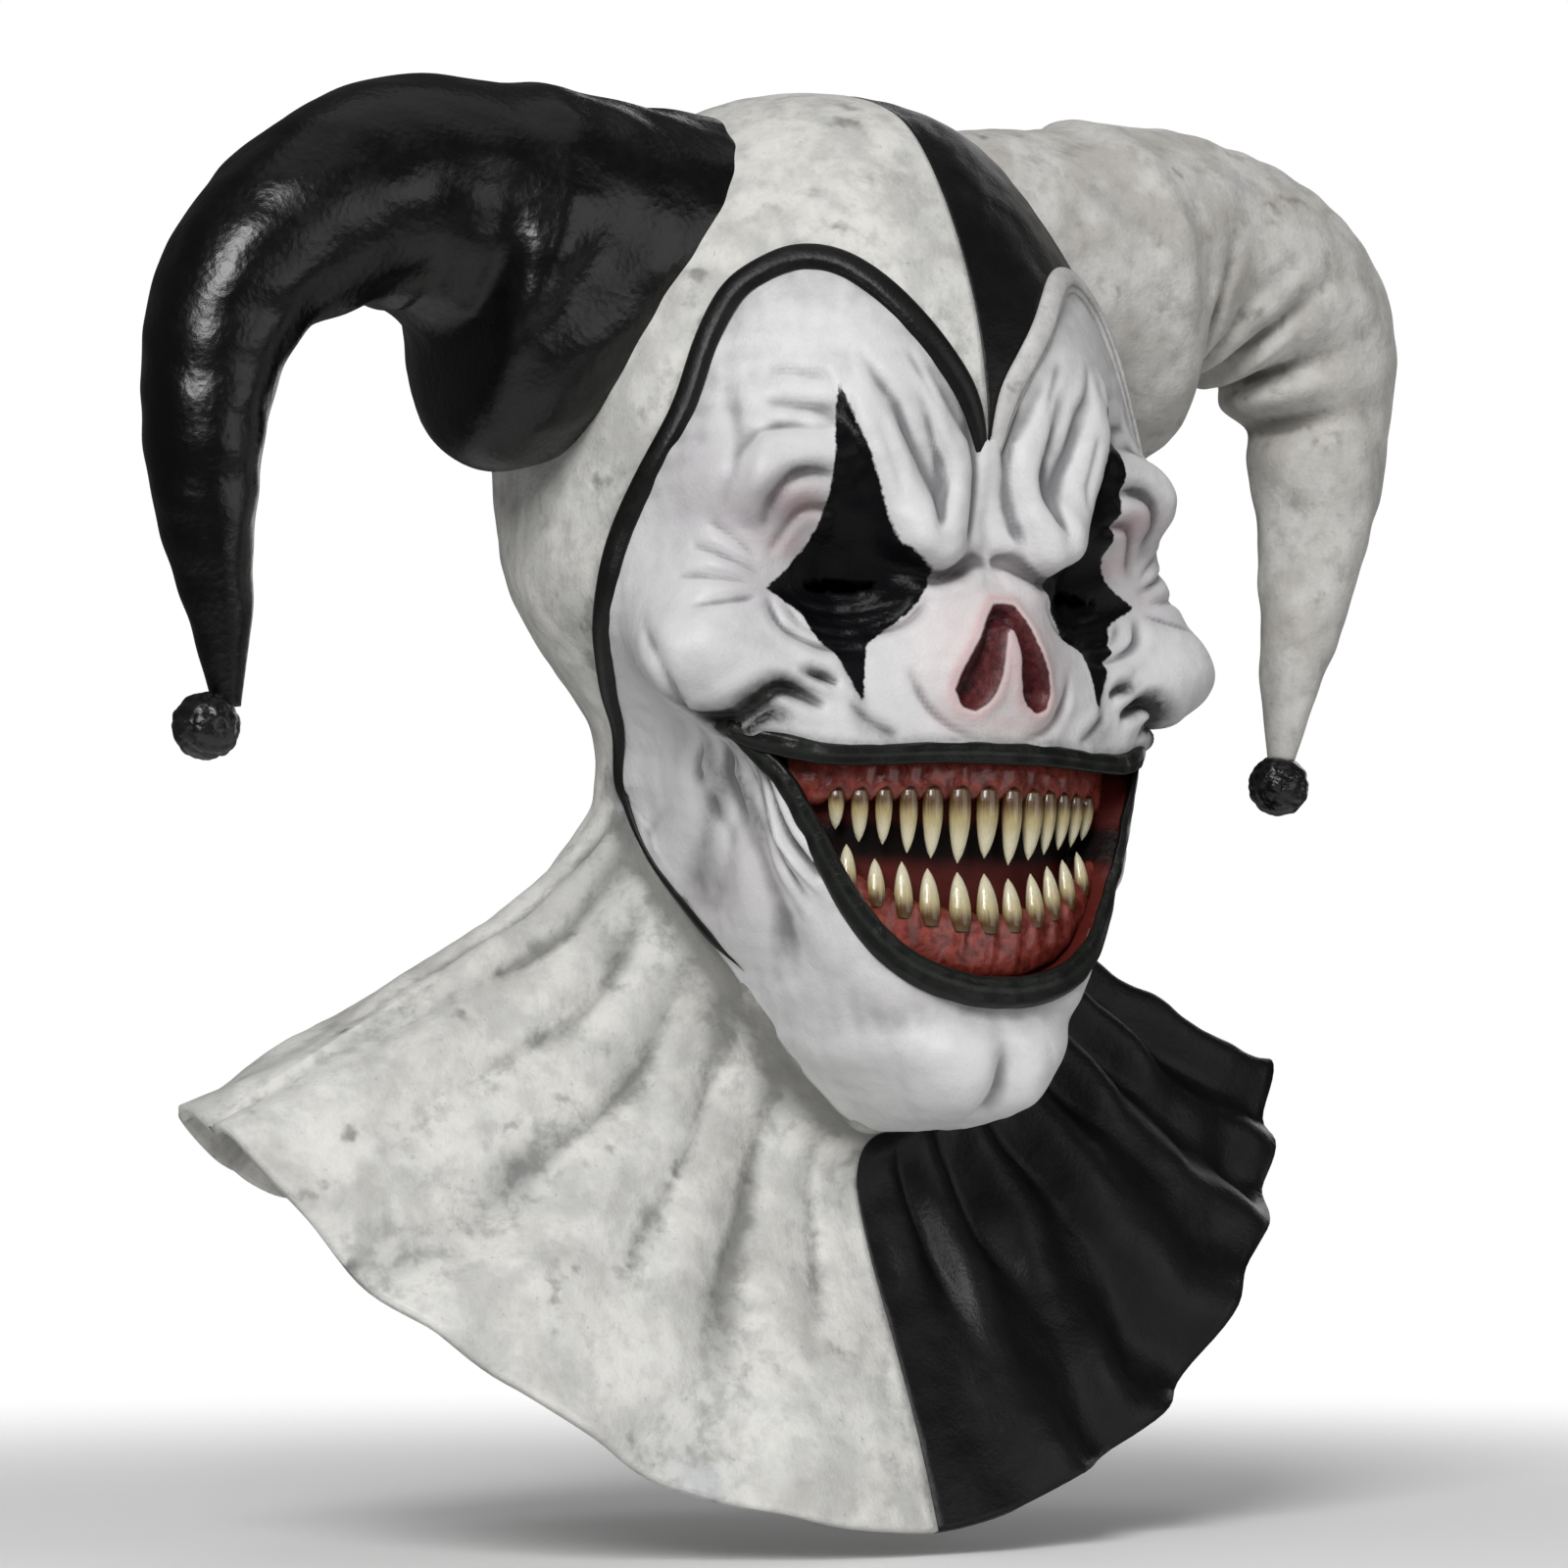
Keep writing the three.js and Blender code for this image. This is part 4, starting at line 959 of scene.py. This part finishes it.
trimLook = {
    "path": [  # angle, station, half width
        [0.9, 14.2, 0.9], [2.3, 14.62, 2.5], [4.9, 15.02, 3.5], [9.5, 15.35, 3.8], [14.5, 15.65, 3.9],
        [20, 15.95, 3.9], [25.5, 16.16, 3.9], [31, 16.26, 3.9], [37, 16.26, 3.9], [42.5, 16.15, 3.8],
        [48.5, 15.95, 3.7], [52.7, 15.6, 3.6], [56.2, 15.2, 3.5], [59.2, 14.7, 3.5], [63.5, 14.15, 3.5],
        [69.5, 13.45, 3.6], [75, 12.7, 3.7], [79.5, 11.7, 3.6], [86, 10.4, 3.4], [90.6, 8.9, 3],
        [94.6, 7.6, 2.5], [96, 6.6, 2.1], [92, 5.7, 1.7], [84.5, 5.1, 1.2], [74, 4.9, 0.8], [64, 5.05, 1.1],
        [55, 5.3, 1.5], [48, 5.5, 1.0],
    ],
    "seat": 0.6,
    "rows": 330,
    "columns": 28,
    "easing": 24,
    "inmost": 0.9,  # degrees from the middle
    "profile": (0.56, 0.98),  # high and wide
    "groove": (0.62, 0.24),  # place from the bead's inner side and breadth, round the profile
}


def trim(name, side, groove, material, node):
    # a flattened bead around the face, pointed at both ends, with a groove along it
    count = trimLook["rows"]
    at = np.linspace(0, len(trimLook["path"]) - 1, count)
    angle, station, half = between(trimLook["path"], at).T
    angle = side * np.maximum(angle, trimLook["inmost"])
    row = np.arange(count)
    half = half * (0.1 + 0.9 * smooth(row / 2 + 0.15) * smooth((count - 1 - row) / 14 + 0.05))
    turn = roundSteps(trimLook["columns"])
    aside, wide = trimLook["groove"]
    dent = groove * bump(turn - (0.5 * np.pi - aside if side < 0 else 1.5 * np.pi + aside), wide)
    profile = np.stack([np.cos(turn), -np.sin(turn)], -1) * trimLook["profile"] * (1 - dent)[:, None]
    points = beadAlong(angle, station, half, profile, trimLook["seat"], easing=trimLook["easing"])
    # on the pale trim the groove is darkened as painted shade
    shade = dent * 2.4 - 0.5 * np.maximum(0, np.cos(turn)) ** 8
    makeTube(name, points, {"shade": shade}, material, node)


trim("rightTrim", -1, 0.1, materials["blackTrim"], "right_trim")
trim("leftTrim", 1, 0.4, materials["paleTrim"], "left_trim")
print("trims done")


def lips():
    # a rolled edge around the mouth with fine lines along it
    edge, at = lipPath(lipLook["rows"])
    angle, drop, half = edge.T
    station = stationAt(angle, drop)
    turn = roundSteps(lipLook["columns"])
    c = np.cos(turn)
    lines = np.cos(turn * 7 + 0.6)
    wave = 1 + 0.05 * np.sin(at * 9.0)[:, None] * c + 0.05 * lines
    profile = np.stack([0.46 * np.sign(c) * np.abs(c) ** 0.8 * wave, -np.sin(turn) * wave], -1)
    points = beadAlong(angle, station, half, profile, 0.3, True)
    points += 0.35 * lumps(points, 9, 61)[..., None] * outwardOf(angle, station)[:, None]
    index = np.pad(np.arange(wave.size).reshape(wave.shape), ((0, 1), (0, 1)), mode="wrap")
    shade = np.broadcast_to(-0.9 * np.maximum(0, lines) * np.maximum(0, c), wave.shape)
    makePiece("lipRoll", points, [gridFaces(index)], materials["lips"], ["lips"], {"shade": shade})


lips()
print("lips done")


# gums and teeth

mouthLook = {
    # distance from the middle, drop of root and tip, width
    "upper": [(0, 196.8, 213, 6.2), (8.4, 196.8, 213.6, 6.2), (16.1, 197, 212.8, 5.9),
              (22.6, 197.2, 211.6, 5.1), (29, 197.4, 210, 4.9), (35, 197.6, 208.4, 4.6),
              (40.7, 197.8, 206, 4.3)],
    "lower": [(0, 228, 216.6, 6), (8.4, 227.6, 217.2, 6), (17, 226.2, 215.6, 5.7), (24, 224.2, 214, 5.1),
              (31, 221.2, 212.4, 4.9), (38, 217.2, 209.8, 4.6)],
    "root": {1: 2.4, -1: 4.8},  # how far upper and lower teeth go into the gum
    "uneven": 0.9,  # how far tips and widths stray
    "toothRows": 28,
    "toothColumns": 22,
    "gumEnd": 51.5,
    "gumRows": 420,
    "gumColumns": 40,
    "shape": [0.80, 0.93, 1.0, 1.0, 0.98, 0.93, 0.85, 0.74, 0.59, 0.38, 0.06],  # breadth from root to tip
}


def arch(x):
    # the bow that the teeth stand on, seen from above
    return 80 - 11 * (np.abs(x) / 41) ** 1.8


def mirroredRows(rows):
    return [(-x, root, tip, width) for x, root, tip, width in rows[:0:-1]] + list(rows)


def tooth(name, x, root, tip, width, node):
    # a flattened cone, widest a third of the way down, its tip drawn back into the mouth
    down = 1 if tip > root else -1
    t = np.linspace(0, 1, mouthLook["toothRows"])[:, None]
    turn = roundSteps(mouthLook["toothColumns"])
    shape = np.array(mouthLook["shape"])[:, None]
    size = between(shape, t[:, 0] * (len(shape) - 1)) * width / 2
    lean = np.arctan2(arch(x + 0.5) - arch(x - 0.5), 1)
    start = root - down * mouthLook["root"][down]
    u = size * np.cos(turn)
    v = 0.82 * size * np.sin(turn) + 1.8 * t**2 - 0.9
    px = x + u * np.cos(lean) + v * np.sin(lean)
    py = -arch(x) - u * np.sin(lean) + v * np.cos(lean)
    pz = np.broadcast_to(wall - start - (tip - start) * t, u.shape)
    points = np.stack([px, py, pz], -1)
    makeTube(name, points, {"along": t}, materials["tooth"], node, None, (0, 1), down > 0)


stray = np.random.default_rng(71)
for jaw in ("upper", "lower"):
    for number, (x, root, tip, width) in enumerate(mirroredRows(mouthLook[jaw])):
        shift, swell = stray.uniform(-1, 1, 2) * mouthLook["uneven"]
        tooth(f"{jaw}Tooth{number + 1:02d}", x, root, tip + shift, width * (1 + 0.07 * swell),
              f"{jaw}_tooth_{number + 1:02d}")
print("teeth done")


gumX = np.linspace(-mouthLook["gumEnd"], mouthLook["gumEnd"], mouthLook["gumRows"])
gumSide = np.abs(gumX)


def gum(name, jaw, back, bite, node):
    # a rounded band on the bow, scalloped between the teeth and swollen over their roots
    down = 1 if jaw == "upper" else -1
    roots = np.array(mirroredRows(mouthLook[jaw]))
    over = np.clip(bump(gumX[:, None] - roots[:, 0], roots[:, 3] * 0.42).sum(1), 0, 1)[:, None]
    back, bite = back[:, None], bite[:, None] + down * (1.6 - 3.2 * over)
    turn = roundSteps(mouthLook["gumColumns"])
    c, s = np.cos(turn), np.sin(turn)
    drop = (bite + back) / 2 + np.abs(bite - back) / 2 * np.sign(s) * np.abs(s) ** 0.8 * down
    swell = 1.5 * over * np.maximum(0, c) * (0.4 + 0.6 * np.maximum(0, s))
    close = smooth((mouthLook["gumEnd"] - gumSide) / 5)[:, None]
    y = 1.2 - arch(gumX)[:, None] - (3.0 * c + swell) * (0.25 + 0.75 * close)
    points = np.stack([np.broadcast_to(gumX[:, None], y.shape), y, wall - drop], -1)
    points[..., 1] -= 0.3 * lumps(points, 5, 51)
    shade = 0.75 * smooth((s - 0.35) / 0.5) * (0.35 + 0.65 * over)
    makeTube(name, points, {"shade": shade}, materials["gum"], node, flip=down < 0)


# the inside of the lower lip: distance from the middle, drop
lowerLine = np.array([(0, 243), (13, 242), (26.5, 238), (37, 230.5), (44.5, 219.5), (49.5, 209), (53.5, 199)])
lowerLip = np.interp(gumSide, lowerLine[:, 0], lowerLine[:, 1])
lowerBite = np.minimum(228.3 - 11.5 * (gumSide / 38) ** 1.8, lowerLip - 1.5)
gum("upperGum", "upper", np.full(gumX.shape, 185.5), 196.5 + gumSide / 40, "upper_gum")
gum("lowerGum", "lower", lowerLip + 1.5, lowerBite, "lower_gum")
print("gums done")


# floor, light and camera

stageLook = {
    "floor": -0.3955,
    "reach": 0.9,
    "fade": (0.44, 0.85),  # where the floor goes over into the backdrop
    "world": 0.2,
    "mirrored": 0.07,
    "lamps": {  # place, target, wide and tall, power
        "keyLight": ((-1.5, -1.4, 0.95), (0, 0, -0.17), (0.9, 1.1), 44),
        "fillLight": ((0.9, -2.0, 0.1), (0, 0, -0.2), (1.6, 1.4), 9),
        "topLight": ((0.1, -0.1, 1.7), (0, 0, -0.1), (1.6, 1.6), 3),
        "rimLight": ((1.7, 1.2, 0.5), (0, 0, -0.17), (1.2, 1.4), 7),
    },
}
scene = bpy.context.scene


def lamp(name, place, target, size, power):
    light = bpy.data.lights.new(name, "AREA")
    light.energy = power
    light.shape = "RECTANGLE"
    light.size, light.size_y = size
    lampObject = bpy.data.objects.new(name, light)
    scene.collection.objects.link(lampObject)
    lampObject.location = place
    lampObject.rotation_euler = (Vector(target) - Vector(place)).to_track_quat("-Z", "Y").to_euler()


for lampName, lampRow in stageLook["lamps"].items():
    lamp(lampName, *lampRow)

world = bpy.data.worlds.new("studio")
world.use_nodes = True
worldTree = world.node_tree
# the white backdrop lights and mirrors less than it shows
ray = nodeIn(worldTree, "ShaderNodeLightPath").outputs
unseen = rangeIn(worldTree, ray["Is Glossy Ray"], 0, 1, stageLook["world"], stageLook["mirrored"], "LINEAR")
backdrop = worldTree.nodes["Background"].inputs
backdrop["Color"].default_value = (1, 1, 1, 1)
worldTree.links.new(mathIn(worldTree, "MAXIMUM", ray["Is Camera Ray"], unseen), backdrop["Strength"])
scene.world = world
scene.view_settings.view_transform = "Standard"

reach = stageLook["reach"]
corners = [(x * reach, y * reach, stageLook["floor"]) for x, y in ((-1, -1), (1, -1), (1, 1), (-1, 1))]
floorMesh = bpy.data.meshes.new("floor")
floorMesh.from_pydata(corners, [], [(0, 1, 2, 3)])
floor = bpy.data.objects.new("floor", floorMesh)
scene.collection.objects.link(floor)
paper, paperTree, paperShader, paperPlace = newMaterial("palePaper", Roughness=0.9)
paperTone = mixIn(paperTree, noiseIn(paperTree, paperPlace, 3, 3), (0.90, 0.90, 0.90), (0.92, 0.92, 0.92))
away = nodeIn(paperTree, "ShaderNodeVectorMath", {0: paperPlace}, operation="LENGTH").outputs["Value"]
paperTree.links.new(paperTone, paperShader.inputs["Base Color"])
paperTree.links.new(rangeIn(paperTree, away, *stageLook["fade"], 1, 0), paperShader.inputs["Alpha"])
floorMesh.materials.append(paper)

cameraLook = {"azimuth": -34.0, "distance": 1.6, "lens": 133.33, "rise": wall - 266.8, "side": -8.64,
              "pitch": 2.753}
turn = np.radians(cameraLook["azimuth"])
toRight = np.array([np.cos(turn), np.sin(turn), 0])
toCamera = np.array([np.sin(turn), -np.cos(turn), 0])
upright = np.array([0, 0, 1])
place = toCamera * cameraLook["distance"] + (upright * cameraLook["rise"] + toRight * cameraLook["side"]) * mm
pitch = np.radians(cameraLook["pitch"])
upward = upright * np.cos(pitch) + toCamera * np.sin(pitch)
backward = toCamera * np.cos(pitch) - upright * np.sin(pitch)
lens = bpy.data.cameras.new("camera")
lens.lens = cameraLook["lens"]
lens.sensor_width = 36
lens.sensor_fit = "HORIZONTAL"
camera = bpy.data.objects.new("camera", lens)
scene.collection.objects.link(camera)
axes = np.stack([toRight, upward, backward, place], 1)
camera.matrix_world = Matrix([*axes.tolist(), [0, 0, 0, 1]])
scene.camera = camera
print("stage done")

bpy.context.view_layer.update()
